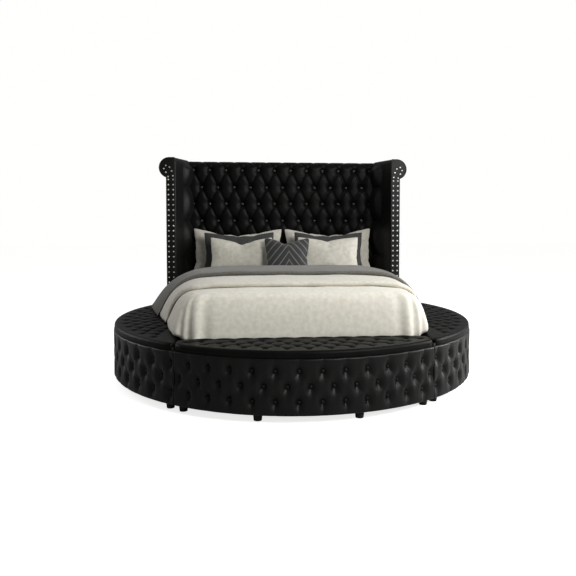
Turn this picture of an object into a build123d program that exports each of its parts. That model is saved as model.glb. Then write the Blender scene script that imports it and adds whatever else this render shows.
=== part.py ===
from build123d import *
import math
import os

os.makedirs("parts", exist_ok=True)

# Ring of three storage benches round the mattress
ring_radius = 1365.0
bench_seam_x = 802.0
foot_inner_y = 970.0
wing_front_y = 808.0
bench_gap = 2.0
foot_height = 50.0
bench_top_z = 378.0
drawn_benches = ("foot", "right")
side_signs = {"left": -1, "right": 1}
side_aligns = {"left": Align.MAX, "right": Align.MIN}

# Bench boards, padding and clearances
floor_board = 15.0
wall_board = 18.0
shell_board = 12.0
pad_thickness = 36.0
pad_edge_round = 9.0
board_gap = 0.3
overrun = 30.0

# Tufts of the bench walls, as shares of the wall height down from the lid seam
wall_row_shares = (0.23, 0.50, 0.77)
foot_tuft_step = 5.8
foot_tuft_counts = (12, 13, 12)
side_tuft_step = 6.7
side_tuft_counts = (14, 13, 14)
wall_tuft_depth = 24.0
tuft_reach_share = 1.22
tuft_seat = 15.0
button_radius = 13.0
button_height = 9.0
button_taper = 24.0
button_sides = 6

# Lids
lid_rest_gap = 0.3
lid_board_thickness = 15.0
lid_cushion_height = 45.0
lid_outer_inset = 6.0
foot_lid_end_gap = 5.0
side_lid_end_gap = 7.0
lid_wrap = 12.0
lid_corner_round = 26.0
lid_edge_round = 22.0
lid_tuft_border = 88.0
lid_tuft_row = 68.0
lid_tuft_half_steps = 15
lid_tuft_depth = 13.0
lid_tuft_reach_share = 0.9
lid_tuft_margin = 48.0

# Lid hinges: tall cranked leaves that put the pin beside the cushion's top inner edge
hinge_drop = 5.0
hinge_leaf = 2.0
hinge_length = 80.0
hinge_knuckle_radius = 5.0
hinge_knuckle_gap = 0.4
hinge_pin_radius = 2.5
hinge_pin_clearance = 0.05
hinge_fixed_reach = 40.0
foot_hinge_shares = (-0.8, 0.0, 0.8)
side_hinge_shares = (-0.85, 0.0, 0.9)

# Feet of the benches and the headboard
foot_top_radius = 30.0
foot_bottom_radius = 24.0
foot_pad_radius = 1285.0
foot_bench_angles = (-35.6, -13.5, 13.5, 35.6)
side_bench_angles = (40.5, 67.0, 95.0, 122.0)
inner_foot_inset = 42.0
foot_inner_shares = (-0.62, 0.62)
side_inner_shares = (-0.6, 0.1, 0.85)
board_foot_x = 420.0
board_foot_radius = 21.0
wing_front_foot_gap = 52.0
wing_front_foot_inset = 45.0
wing_back_foot_gap = 160.0
wing_back_foot_inset = 88.0

# Bolts that join the benches to each other and to the wings
bolt_radius = 4.0
bolt_clearance = 0.3
bolt_head_radius = 7.0
bolt_head_height = 5.5
bolt_bite = 40.0
bolt_heights = (130.0, 300.0)
wing_bolt_inset = 67.0
nut_height = 6.5

# Mattress, sheet and the support under them
mattress_width = 1524.0
mattress_length = 2032.0
mattress_height = 331.0
mattress_corner_round = 70.0
mattress_edge_round = 28.0
mattress_recess = 69.7
headboard_gap = 4.0
sheet_thickness = 1.7
sheet_gap = 0.3
sheet_depth = 300.0
slat_width = 100.0
slat_thickness = 18.0
slat_count = 14
slat_margin = 75.0
rail_width = 30.0
rail_height = 90.0
beam_width = 60.0
beam_height = 80.0
beam_leg_side = 50.0
beam_leg_shares = (-0.62, 0.1, 0.8)

# Headboard
headboard_depth = 222.0
headboard_pad = 70.0
headboard_board_thickness = 45.0
headboard_top_z = 1768.0
headboard_pad_base_z = 300.0
headboard_board_drop = 168.0
roll_radius = 97.0
front_roll_radius = 93.0
headboard_tuft_pitch = 160.5
headboard_row_pitch = 166.0
headboard_rows = 8
headboard_columns = 12
headboard_tuft_depth = 36.0
headboard_tuft_reach_share = 1.14
pleat_depth = 21.0
headboard_seam_gap = 1.0

# Wings
wing_outer_x = 1100.0
wing_band_width = 86.0
wing_back_inner_x = 920.0
scroll_centre_x = 1067.0
wing_cover_thickness = 12.0
wing_band_thickness = 8.0
wing_band_inset = 5.0
wing_foot_radius = 24.0
nail_radius = 8.0
nail_height = 4.5
nail_pitch = 48.0
nail_columns = (22.0, 65.0)
nail_first_z = 455.0
nail_count = 24
nail_sides = 6
scroll_nail_shares = (
    (0.14, -0.86),
    (0.35, -0.46),
    (0.53, -0.11),
    (0.33, 0.19),
    (0.0, 0.03),
    (-0.2, -0.33),
    (-0.31, -0.79),
)

# Bedding, from the sheet up
duvet_thickness = 44.0
coverlet_thickness = 40.0
blanket_thickness = 34.0
bedding_gap = 0.5
bedding_half_width = 776.0
duvet_foot_gap = 2.0
duvet_head_y = 520.0
duvet_hem_z = 400.0
fold_round_share = 0.42
coverlet_foot_y = -570.0
coverlet_head_y = 530.0
blanket_foot_y = -100.0
blanket_head_y = 540.0
drape_thickness = 13.0
drape_rest_gap = 1.5
drape_sag = 26.0

# Hems on the side lids, as shares of the ring's radius: a station along the bed and the hem's reach there
duvet_hem_shares = ((-0.659, 0.595), (-0.506, 0.651), (-0.337, 0.688))
coverlet_hem_shares = ((-0.337, 0.692), (-0.190, 0.733), (-0.055, 0.769))
blanket_hem_shares = ((-0.055, 0.776), (0.0, 0.790), (0.176, 0.835), (0.308, 0.868), (0.392, 0.853))

# Pillows: width, height, thickness, middle of the width, foot of the back face, lean from upright
pillow_section_shares = (-1.0, -0.93, -0.8, -0.55, 0.0, 0.55, 0.8, 0.93, 1.0)
pillow_height_shares = (1.0, 0.98, 0.95, 0.92, 0.90, 0.92, 0.95, 0.98, 1.0)
pillow_crown_shares = (0.07, 0.38, 0.68, 0.92, 1.0, 0.92, 0.68, 0.38, 0.07)
pillow_side_draw = 26.0
sham = {"width": 870.0, "height": 468.0, "thick": 150.0, "x": 445.0, "y": 1020.0, "lean": 9.0}
dark_pillow = {"width": 676.0, "height": 436.0, "thick": 125.0, "x": 430.0, "y": 872.0, "lean": 11.0}
front_pillow = {"width": 585.0, "height": 392.0, "thick": 125.0, "x": 409.0, "y": 736.0, "lean": 13.0}
throw_cushion = {"width": 452.0, "height": 420.0, "thick": 130.0, "x": 13.0, "y": 550.0, "lean": 27.0}
pillow_rest_gap = 0.3

# Heights and places that follow from the sizes above
seam_angle = math.degrees(math.asin(bench_seam_x / ring_radius))
wing_angle = 90 + math.degrees(math.asin(wing_front_y / ring_radius))
side_middle_angle = (seam_angle + wing_angle) / 2
corner_bolt_y = -foot_inner_y - inner_foot_inset
wing_bolt_x = wing_outer_x - wing_bolt_inset
corner_bolt_hole = 2 * (bolt_bite + 2 * wall_board)
wing_bolt_hole = 2 * (bolt_bite + wall_board + bench_gap)
wing_front_foot = (wing_outer_x - wing_front_foot_inset, wing_front_y + wing_front_foot_gap)
wing_back_foot = (wing_outer_x - wing_back_foot_inset, ring_radius - wing_back_foot_gap)
mattress_base_z = bench_top_z - mattress_recess
headboard_front_y = ring_radius - headboard_depth
headboard_first_row_z = headboard_top_z - front_roll_radius
headboard_board_top_z = headboard_top_z - headboard_board_drop
shell_radius = ring_radius - pad_thickness
room_radius = shell_radius - shell_board
lid_base_z = bench_top_z + lid_rest_gap
lid_top_z = lid_base_z + lid_cushion_height
foot_bench_half_length = bench_seam_x - bench_gap / 2
side_bench_inner_x = bench_seam_x + bench_gap / 2
side_bench_end_y = wing_front_y - bench_gap
hinge_axis_z = lid_top_z - hinge_drop
hinge_offset = hinge_knuckle_radius + board_gap
headboard_board_y = headboard_front_y + headboard_pad
headboard_back_y = headboard_board_y + headboard_board_thickness
headboard_half_width = wing_back_inner_x - headboard_seam_gap
roll_centre_y = ring_radius - roll_radius
roll_centre_z = headboard_top_z - roll_radius
mattress_head_y = headboard_front_y - headboard_gap
mattress_foot_y = mattress_head_y - mattress_length
sheet_top_z = mattress_base_z + mattress_height + sheet_gap + sheet_thickness
slat_base_z = mattress_base_z - board_gap - slat_thickness
wing_cover_front_y = wing_front_y + wing_band_thickness
duvet_base_z = sheet_top_z + bedding_gap
coverlet_base_z = duvet_base_z + duvet_thickness + bedding_gap
blanket_base_z = coverlet_base_z + coverlet_thickness + bedding_gap


def write(builder, name):
    """Labels a finished piece and writes it, and for one of the right side its left twin too."""
    builder.part.label = name
    export_step(builder.part, f"parts/{name}.step")
    if "right" in name:
        with BuildPart() as twin:
            mirror(builder.part, about=Plane.YZ)
        twin_name = name.replace("right", "left")
        twin.part.label = twin_name
        export_step(twin.part, f"parts/{twin_name}.step")


def bench_plan(bench, outer_inset, inner_inset, end_inset):
    """Plan of one bench, drawn in from its curved face, its straight inner face and its ends."""
    with BuildSketch() as plan:
        Circle(ring_radius - outer_inset)
        if bench == "foot":
            with Locations((0, -foot_inner_y - inner_inset)):
                Rectangle(
                    2 * (foot_bench_half_length - end_inset),
                    ring_radius,
                    align=(Align.CENTER, Align.MAX),
                    mode=Mode.INTERSECT,
                )
        else:
            inner_x = side_signs[bench] * (side_bench_inner_x + inner_inset)
            with Locations((inner_x, side_bench_end_y - end_inset)):
                Rectangle(
                    ring_radius,
                    2 * ring_radius,
                    align=(side_aligns[bench], Align.MAX),
                    mode=Mode.INTERSECT,
                )
    return plan.sketch


def cover_sector(bench):
    """Plan of the stretch of the ring that one bench's cover takes, between radial seams."""
    reach = 2 * ring_radius
    with BuildSketch() as sector:
        if bench == "foot":
            seam_share = math.tan(math.asin(foot_bench_half_length / ring_radius))
            Polygon((0, 0), (-reach * seam_share, -reach), (reach * seam_share, -reach), align=None)
        else:
            seam_share = math.tan(math.asin(side_bench_inner_x / ring_radius))
            sign = side_signs[bench]
            Polygon(
                (0, 0),
                (sign * reach * seam_share, -reach),
                (sign * reach, -reach),
                (sign * reach, side_bench_end_y),
                (0, side_bench_end_y),
                align=None,
            )
    return sector.sketch


def radial_plane(radius, angle, height):
    """Plane that faces outward on a ring, at an angle counted from the foot of the bed."""
    turn = math.radians(angle)
    return Plane(
        origin=(radius * math.sin(turn), -radius * math.cos(turn), height),
        x_dir=(math.cos(turn), math.sin(turn), 0),
        z_dir=(math.sin(turn), -math.cos(turn), 0),
    )


def tuft_cutter(half_width, half_height, depth):
    """Four-sided pit, with its mouth on the XY plane and its seat for a button below."""
    mouth_share = (depth + overrun) / depth
    with BuildPart() as cutter:
        with BuildSketch(Plane.XY.offset(-depth)):
            Rectangle(2 * tuft_seat, 2 * tuft_seat)
        with BuildSketch(Plane.XY.offset(overrun)):
            Rectangle(
                2 * (tuft_seat + (half_width - tuft_seat) * mouth_share),
                2 * (tuft_seat + (half_height - tuft_seat) * mouth_share),
            )
        loft(ruled=True)
    return cutter.part


def tuft_button_group(planes):
    """Buttons that stand on the given planes."""
    with BuildPart() as buttons:
        with BuildSketch(*planes):
            RegularPolygon(button_radius, button_sides)
        extrude(amount=button_height, taper=button_taper)
    return buttons


def wall_tuft_places(bench):
    """Angle and height of each tuft on a bench wall, with the rows staggered."""
    if bench == "foot":
        middle, step, counts = 0.0, foot_tuft_step, foot_tuft_counts
    else:
        middle, step, counts = side_signs[bench] * side_middle_angle, side_tuft_step, side_tuft_counts
    places = []
    for share, count in zip(wall_row_shares, counts):
        height = bench_top_z - share * (bench_top_z - foot_height)
        for column in range(count):
            places.append((middle + (column - (count - 1) / 2) * step, height))
    return places, step


def lid_tuft_places(bench):
    """Plan places of a lid's tufts, on staggered arcs, clear of the lid's edges."""
    _, step = wall_tuft_places(bench)
    places = []
    row = 0
    radius = ring_radius - lid_tuft_border
    inner_limit = foot_inner_y if bench == "foot" else side_bench_inner_x
    while radius > inner_limit + lid_tuft_margin:
        for half_steps in range(-lid_tuft_half_steps, lid_tuft_half_steps + 1):
            if (half_steps + row) % 2:
                continue
            turn = math.radians(half_steps * step / 2)
            if bench != "foot":
                turn += math.radians(side_middle_angle)
            x, y = radius * math.sin(turn), -radius * math.cos(turn)
            if bench == "foot":
                inside = -y > foot_inner_y + lid_tuft_margin and abs(x) < bench_seam_x - lid_tuft_margin
            else:
                inside = x > side_bench_inner_x + lid_tuft_margin and y < side_bench_end_y - lid_tuft_margin
            if inside:
                places.append((side_signs.get(bench, 1) * x, y))
        radius -= lid_tuft_row
        row += 1
    return places, step


def hinge_planes(bench):
    """Planes of a lid's hinges: the origin on the pin, X along it, Y up, Z into the ring."""
    if bench == "foot":
        return [
            Plane(
                origin=(share * foot_bench_half_length, -foot_inner_y + hinge_offset, hinge_axis_z),
                x_dir=(1, 0, 0),
                z_dir=(0, -1, 0),
            )
            for share in foot_hinge_shares
        ]
    sign = side_signs[bench]
    return [
        Plane(
            origin=(sign * (side_bench_inner_x - hinge_offset), share * side_bench_end_y, hinge_axis_z),
            x_dir=(0, sign, 0),
            z_dir=(sign, 0, 0),
        )
        for share in side_hinge_shares
    ]


# Storage benches
corner_bolt_planes = [
    Plane(
        origin=(sign * (foot_bench_half_length - wall_board), corner_bolt_y, height),
        x_dir=(0, 1, 0),
        z_dir=(sign, 0, 0),
    )
    for sign in side_signs.values()
    for height in bolt_heights
]
wing_bolt_planes = [
    Plane(
        origin=(sign * wing_bolt_x, side_bench_end_y - wall_board, height),
        x_dir=(1, 0, 0),
        z_dir=(0, 1, 0),
    )
    for sign in side_signs.values()
    for height in bolt_heights
]
inner_outer_inset = pad_thickness + shell_board + board_gap

for bench in drawn_benches:
    with BuildPart() as bench_floor:
        with BuildSketch(Plane.XY.offset(foot_height)):
            add(bench_plan(bench, inner_outer_inset, wall_board + board_gap, wall_board + board_gap))
        extrude(amount=floor_board)
    write(bench_floor, f"{bench}_bench_floor")

    with BuildPart() as bench_walls:
        with BuildSketch(Plane.XY.offset(foot_height)):
            add(bench_plan(bench, inner_outer_inset, 0, 0))
            add(bench_plan(bench, inner_outer_inset, wall_board, 0), mode=Mode.SUBTRACT)
        with BuildSketch(Plane.XY.offset(foot_height)):
            add(bench_plan(bench, inner_outer_inset, wall_board + board_gap, 0))
            add(bench_plan(bench, inner_outer_inset, wall_board + board_gap, wall_board), mode=Mode.SUBTRACT)
        extrude(amount=bench_top_z - foot_height)
        with Locations(*corner_bolt_planes, *wing_bolt_planes):
            Cylinder(bolt_radius + bolt_clearance, corner_bolt_hole, mode=Mode.SUBTRACT)
    write(bench_walls, f"{bench}_bench_walls")

    with BuildPart() as bench_shell:
        with BuildSketch(Plane.XY.offset(foot_height)):
            add(bench_plan(bench, pad_thickness, 0, 0))
            Circle(room_radius, mode=Mode.SUBTRACT)
        extrude(amount=bench_top_z - foot_height)
    write(bench_shell, f"{bench}_bench_shell")

    tufts, step = wall_tuft_places(bench)
    row_pitch = (wall_row_shares[1] - wall_row_shares[0]) * (bench_top_z - foot_height)
    column_pitch = ring_radius * math.radians(step)
    pit = tuft_cutter(
        tuft_reach_share * column_pitch / 4,
        tuft_reach_share * row_pitch / 2,
        wall_tuft_depth,
    )
    with BuildPart() as bench_cover:
        with BuildSketch(Plane.XZ):
            with Locations((shell_radius + board_gap, foot_height)):
                pad = Rectangle(
                    pad_thickness - board_gap,
                    bench_top_z - foot_height,
                    align=(Align.MIN, Align.MIN),
                )
            fillet(pad.vertices().group_by(Axis.X)[-1], pad_edge_round)
        revolve(axis=Axis.Z)
        with BuildSketch(Plane.XY.offset(foot_height)):
            add(cover_sector(bench))
        extrude(amount=bench_top_z - foot_height, mode=Mode.INTERSECT)
        with Locations(*[radial_plane(ring_radius, angle, height) for angle, height in tufts]):
            add(pit, mode=Mode.SUBTRACT)
    write(bench_cover, f"{bench}_bench_cover")

    seat_radius = ring_radius - wall_tuft_depth
    bench_buttons = tuft_button_group([radial_plane(seat_radius, angle, height) for angle, height in tufts])
    write(bench_buttons, f"{bench}_bench_buttons")

# Lids and their hinges
for bench in drawn_benches:
    end_gap = foot_lid_end_gap if bench == "foot" else side_lid_end_gap
    with BuildPart() as lid_board:
        with BuildSketch(Plane.XY.offset(lid_base_z)):
            add(bench_plan(bench, lid_outer_inset + lid_wrap, 0, end_gap + lid_wrap))
        extrude(amount=lid_board_thickness)
    write(lid_board, f"{bench}_lid_board")

    tufts, step = lid_tuft_places(bench)
    lid_pit = tuft_cutter(
        lid_tuft_reach_share * ring_radius * math.radians(step) / 4,
        lid_tuft_reach_share * lid_tuft_row / 2,
        lid_tuft_depth,
    )
    with BuildPart() as lid_cushion:
        with BuildSketch(Plane.XY.offset(lid_base_z)):
            add(bench_plan(bench, lid_outer_inset, 0, end_gap))
        extrude(amount=lid_cushion_height)
        fillet(lid_cushion.edges().filter_by(Axis.Z), lid_corner_round)
        fillet(lid_cushion.faces().sort_by(Axis.Z)[-1].edges(), lid_edge_round)
        with BuildSketch(Plane.XY.offset(lid_base_z)):
            wrap = lid_wrap - board_gap
            add(bench_plan(bench, lid_outer_inset + wrap, -lid_wrap, end_gap + wrap))
        extrude(amount=lid_board_thickness, mode=Mode.SUBTRACT)
        with Locations(
            *[
                Plane(
                    origin=(x, y, lid_top_z),
                    x_dir=(-y / math.hypot(x, y), x / math.hypot(x, y), 0),
                    z_dir=(0, 0, 1),
                )
                for x, y in tufts
            ]
        ):
            add(lid_pit, mode=Mode.SUBTRACT)
    write(lid_cushion, f"{bench}_lid_cushion")

    knuckle_length = hinge_length / 3 - hinge_knuckle_gap
    with BuildPart() as lid_leaves:
        with Locations(*hinge_planes(bench)):
            with Locations((0, -hinge_axis_z + lid_base_z, hinge_offset - hinge_leaf)):
                Box(
                    hinge_length,
                    hinge_axis_z - lid_base_z,
                    hinge_leaf,
                    align=(Align.CENTER, Align.MIN, Align.MIN),
                )
            with GridLocations(2 * hinge_length / 3, hinge_length, 2, 1):
                Cylinder(hinge_knuckle_radius, knuckle_length, rotation=(0, 90, 0))
        with Locations(*hinge_planes(bench)):
            Box(
                hinge_length / 3 + hinge_knuckle_gap,
                2 * (hinge_axis_z - lid_base_z + overrun),
                2 * (hinge_offset + overrun),
                mode=Mode.SUBTRACT,
            )
            Cylinder(
                hinge_pin_radius + hinge_pin_clearance,
                2 * hinge_length,
                rotation=(0, 90, 0),
                mode=Mode.SUBTRACT,
            )
    write(lid_leaves, f"{bench}_lid_hinge_leaves")

with BuildPart() as fixed_leaves:
    with Locations(*[plane for bench in ("foot", *side_signs) for plane in hinge_planes(bench)]):
        Cylinder(hinge_pin_radius, hinge_length, rotation=(0, 90, 0))
        Cylinder(hinge_knuckle_radius, hinge_length / 3 - hinge_knuckle_gap, rotation=(0, 90, 0))
        with Locations((0, 0, hinge_offset - hinge_leaf)):
            Box(
                hinge_length / 3 - hinge_knuckle_gap,
                hinge_axis_z - bench_top_z + hinge_fixed_reach,
                hinge_leaf,
                align=(Align.CENTER, Align.MAX, Align.MIN),
            )
write(fixed_leaves, "bench_hinge_leaves")

# Feet and bolts
foot_places = [
    (foot_pad_radius * math.sin(math.radians(angle)), -foot_pad_radius * math.cos(math.radians(angle)))
    for angle in foot_bench_angles
]
foot_places += [
    (share * foot_bench_half_length, -foot_inner_y - inner_foot_inset) for share in foot_inner_shares
]
for sign in side_signs.values():
    for angle in side_bench_angles:
        turn = math.radians(angle)
        foot_places.append((sign * foot_pad_radius * math.sin(turn), -foot_pad_radius * math.cos(turn)))
    for share in side_inner_shares:
        foot_places.append((sign * (side_bench_inner_x + inner_foot_inset), share * side_bench_end_y))
with BuildPart() as bench_feet:
    with Locations(*foot_places):
        Cone(foot_bottom_radius, foot_top_radius, foot_height, align=(Align.CENTER, Align.CENTER, Align.MIN))
write(bench_feet, "bench_feet")

with BuildPart() as bench_bolts:
    with Locations(*corner_bolt_planes, *wing_bolt_planes):
        Cylinder(bolt_head_radius, bolt_head_height, align=(Align.CENTER, Align.CENTER, Align.MAX))
    with Locations(*corner_bolt_planes):
        corner_bolt_length = 2 * wall_board + bench_gap + nut_height
        Cylinder(bolt_radius, corner_bolt_length, align=(Align.CENTER, Align.CENTER, Align.MIN))
        with Locations((0, 0, corner_bolt_length - nut_height)):
            Cylinder(bolt_head_radius, nut_height, align=(Align.CENTER, Align.CENTER, Align.MIN))
    with Locations(*wing_bolt_planes):
        wing_bolt_length = wall_board + bench_gap + bolt_bite
        Cylinder(bolt_radius, wing_bolt_length, align=(Align.CENTER, Align.CENTER, Align.MIN))
write(bench_bolts, "bench_bolts")

# Support under the mattress
rail_length = headboard_board_y + foot_inner_y
with BuildPart() as side_rails:
    for sign in side_signs.values():
        rail_x = sign * (side_bench_inner_x - rail_width / 2)
        with Locations((rail_x, -foot_inner_y, slat_base_z)):
            Box(rail_width, rail_length, rail_height, align=(Align.CENTER, Align.MIN, Align.MAX))
write(side_rails, "side_rails")

with BuildPart() as centre_beam:
    with Locations((0, -foot_inner_y, slat_base_z)):
        Box(beam_width, rail_length, beam_height, align=(Align.CENTER, Align.MIN, Align.MAX))
write(centre_beam, "centre_beam")

with BuildPart() as beam_legs:
    with Locations(*[(0, share * foot_inner_y) for share in beam_leg_shares]):
        Box(
            beam_leg_side,
            beam_leg_side,
            slat_base_z - beam_height,
            align=(Align.CENTER, Align.CENTER, Align.MIN),
        )
write(beam_legs, "beam_legs")

slat_first_y = mattress_foot_y + slat_margin
slat_last_y = mattress_head_y - slat_margin
with BuildPart() as slats:
    for row in range(slat_count):
        slat_y = slat_first_y + (slat_last_y - slat_first_y) * row / (slat_count - 1)
        with Locations((0, slat_y, slat_base_z)):
            Box(
                2 * side_bench_inner_x - 2 * board_gap,
                slat_width,
                slat_thickness,
                align=(Align.CENTER, Align.CENTER, Align.MIN),
            )
write(slats, "slats")

# Mattress and the sheet pulled over it
mattress_middle_y = (mattress_head_y + mattress_foot_y) / 2


def mattress_block(grow, height):
    """The mattress's rounded block, grown by a given amount at its sides and with a given height."""
    with BuildPart() as block:
        with BuildSketch(Plane.XY.offset(mattress_base_z)):
            with Locations((0, mattress_middle_y)):
                RectangleRounded(
                    mattress_width + 2 * grow,
                    mattress_length + 2 * grow,
                    mattress_corner_round + grow,
                )
        extrude(amount=height)
        fillet(block.faces().sort_by(Axis.Z)[-1].edges(), mattress_edge_round + grow)
    return block


with BuildPart() as mattress:
    add(mattress_block(0, mattress_height).part)
    fillet(mattress.faces().sort_by(Axis.Z)[0].edges(), mattress_edge_round)
write(mattress, "mattress")

sheet_room = mattress_block(sheet_gap, mattress_height + sheet_gap)
with BuildPart() as fitted_sheet:
    add(mattress_block(sheet_gap + sheet_thickness, mattress_height + sheet_gap + sheet_thickness).part)
    add(sheet_room.part, mode=Mode.SUBTRACT)
    with Locations((0, mattress_middle_y, sheet_top_z - sheet_depth)):
        Box(
            2 * mattress_width,
            2 * mattress_length,
            mattress_height,
            align=(Align.CENTER, Align.CENTER, Align.MAX),
            mode=Mode.SUBTRACT,
        )
write(fitted_sheet, "fitted_sheet")

# Headboard
with BuildPart() as headboard_board:
    with Locations((0, headboard_board_y, foot_height)):
        Box(
            2 * headboard_half_width,
            headboard_board_thickness,
            headboard_board_top_z - foot_height,
            align=(Align.CENTER, Align.MIN, Align.MIN),
        )
write(headboard_board, "headboard_board")

headboard_tufts = []
for row in range(headboard_rows):
    count = headboard_columns - row % 2
    for column in range(count):
        tuft_x = (column - (count - 1) / 2) * headboard_tuft_pitch
        headboard_tufts.append((tuft_x, headboard_first_row_z - row * headboard_row_pitch))
headboard_pit = tuft_cutter(
    headboard_tuft_reach_share * headboard_tuft_pitch / 4,
    headboard_tuft_reach_share * headboard_row_pitch / 2,
    headboard_tuft_depth,
)
with BuildPart() as headboard_padding:
    front_roll_y = headboard_front_y + front_roll_radius
    front_roll_z = headboard_top_z - front_roll_radius
    arc_share = math.sqrt(0.5)
    with BuildSketch(Plane.YZ):
        with BuildLine():
            Line((headboard_front_y, headboard_pad_base_z), (headboard_front_y, front_roll_z))
            ThreePointArc(
                (headboard_front_y, front_roll_z),
                (front_roll_y - arc_share * front_roll_radius, front_roll_z + arc_share * front_roll_radius),
                (front_roll_y, headboard_top_z),
            )
            Line((front_roll_y, headboard_top_z), (roll_centre_y, headboard_top_z))
            ThreePointArc(
                (roll_centre_y, headboard_top_z),
                (ring_radius, roll_centre_z),
                (roll_centre_y, roll_centre_z - roll_radius),
            )
            Polyline(
                (roll_centre_y, roll_centre_z - roll_radius),
                (headboard_back_y, roll_centre_z - roll_radius),
                (headboard_back_y, headboard_board_top_z),
                (headboard_board_y, headboard_board_top_z),
                (headboard_board_y, headboard_pad_base_z),
                (headboard_front_y, headboard_pad_base_z),
            )
        make_face()
    extrude(amount=headboard_half_width, both=True)
    with BuildSketch(Plane.YZ):
        with Locations((roll_centre_y, roll_centre_z)):
            Circle(roll_radius)
        with Locations((headboard_back_y + board_gap, roll_centre_z)):
            Rectangle(
                2 * roll_radius,
                2 * roll_radius,
                align=(Align.MIN, Align.CENTER),
                mode=Mode.INTERSECT,
            )
    extrude(amount=wing_outer_x, both=True)
    with Locations(
        *[
            Plane(origin=(x, headboard_front_y, z), x_dir=(1, 0, 0), z_dir=(0, -1, 0))
            for x, z in headboard_tufts
        ]
    ):
        add(headboard_pit, mode=Mode.SUBTRACT)
    pleat_half = headboard_tuft_pitch / 4
    pleat_mouth_share = (pleat_depth + overrun) / pleat_depth
    with BuildSketch(Plane.XZ.offset(-ring_radius - overrun)):
        for column in range(headboard_columns - 1):
            pleat_x = (column + 1 - headboard_columns / 2) * headboard_tuft_pitch
            with Locations((pleat_x, headboard_top_z)):
                Polygon(
                    (-pleat_half * pleat_mouth_share, overrun),
                    (0, -pleat_depth),
                    (pleat_half * pleat_mouth_share, overrun),
                    align=None,
                )
    extrude(amount=2 * ring_radius - 2 * headboard_front_y, mode=Mode.SUBTRACT)
write(headboard_padding, "headboard_padding")

headboard_buttons = tuft_button_group(
    [
        Plane(origin=(x, headboard_front_y + headboard_tuft_depth, z), x_dir=(1, 0, 0), z_dir=(0, -1, 0))
        for x, z in headboard_tufts
    ]
)
write(headboard_buttons, "headboard_buttons")


# Wings
def wing_outline(inner_x, inset):
    """A right wing seen from the front, with the scroll at its top, drawn in at its outer edges."""
    radius = roll_radius - inset
    outer_x = wing_outer_x - inset
    top_z = headboard_top_z - inset
    scroll_foot_z = roll_centre_z - math.sqrt(radius ** 2 - (outer_x - scroll_centre_x) ** 2)
    with BuildSketch() as outline:
        with BuildLine():
            Polyline(
                (outer_x, scroll_foot_z),
                (outer_x, foot_height),
                (inner_x, foot_height),
                (inner_x, top_z),
                (scroll_centre_x, top_z),
            )
            ThreePointArc(
                (scroll_centre_x, top_z),
                (scroll_centre_x + radius, roll_centre_z),
                (outer_x, scroll_foot_z),
            )
        make_face()
    return outline.sketch


def wing_block(inset):
    """The splayed body of the right wing, drawn in all round."""
    front_inner_x = wing_outer_x - wing_band_width
    with BuildPart() as block:
        with BuildSketch(Plane.XZ.offset(-wing_cover_front_y)):
            add(wing_outline(wing_back_inner_x - overrun, inset))
        extrude(amount=wing_cover_front_y - headboard_back_y)
        with BuildSketch():
            with BuildLine():
                Polyline(
                    (front_inner_x, wing_cover_front_y),
                    (wing_outer_x + roll_radius, wing_cover_front_y),
                    (wing_outer_x + roll_radius, headboard_back_y),
                    (wing_back_inner_x, headboard_back_y),
                    (wing_back_inner_x, headboard_front_y),
                    close=True,
                )
            make_face()
            if inset:
                offset(amount=-inset, mode=Mode.REPLACE)
        extrude(amount=headboard_top_z, mode=Mode.INTERSECT)
    return block


wing_frame_block = wing_block(wing_cover_thickness)
with BuildPart() as right_wing_frame:
    add(wing_frame_block.part)
    with Locations(*wing_bolt_planes):
        Cylinder(bolt_radius + bolt_clearance, wing_bolt_hole, mode=Mode.SUBTRACT)
write(right_wing_frame, "right_wing_frame")

with BuildPart() as right_wing_cover:
    add(wing_block(0).part)
    add(wing_frame_block.part, mode=Mode.SUBTRACT)
    with Locations(*wing_bolt_planes):
        Cylinder(bolt_radius + bolt_clearance, wing_bolt_hole, mode=Mode.SUBTRACT)
write(right_wing_cover, "right_wing_cover")

with BuildPart() as right_wing_band:
    with BuildSketch(Plane.XZ.offset(-wing_front_y)):
        add(wing_outline(wing_outer_x - wing_band_width + wing_band_inset, wing_band_inset))
    extrude(amount=-wing_band_thickness)
    with Locations(*wing_bolt_planes):
        Cylinder(bolt_radius + bolt_clearance, wing_bolt_hole, mode=Mode.SUBTRACT)
write(right_wing_band, "right_wing_band")

nail_places = [
    (wing_outer_x - column, nail_first_z + row * nail_pitch)
    for column in nail_columns
    for row in range(nail_count)
]
nail_places += [
    (scroll_centre_x + across * roll_radius, roll_centre_z + up * roll_radius)
    for across, up in scroll_nail_shares
]
with BuildPart() as wing_nails:
    with BuildSketch(Plane.XZ.offset(-wing_front_y)):
        with Locations(*nail_places, *[(-x, z) for x, z in nail_places]):
            RegularPolygon(nail_radius, nail_sides)
    extrude(amount=nail_height, taper=button_taper)
write(wing_nails, "wing_nails")

wing_foot_places = [
    (sign * x, y)
    for sign in side_signs.values()
    for x, y in (wing_front_foot, wing_back_foot)
]
board_foot_places = [
    (sign * board_foot_x, headboard_board_y + headboard_board_thickness / 2) for sign in side_signs.values()
]
with BuildPart() as headboard_feet:
    with Locations(*wing_foot_places):
        Cylinder(wing_foot_radius, foot_height, align=(Align.CENTER, Align.CENTER, Align.MIN))
    with Locations(*board_foot_places):
        Cylinder(board_foot_radius, foot_height, align=(Align.CENTER, Align.CENTER, Align.MIN))
write(headboard_feet, "headboard_feet")

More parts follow.
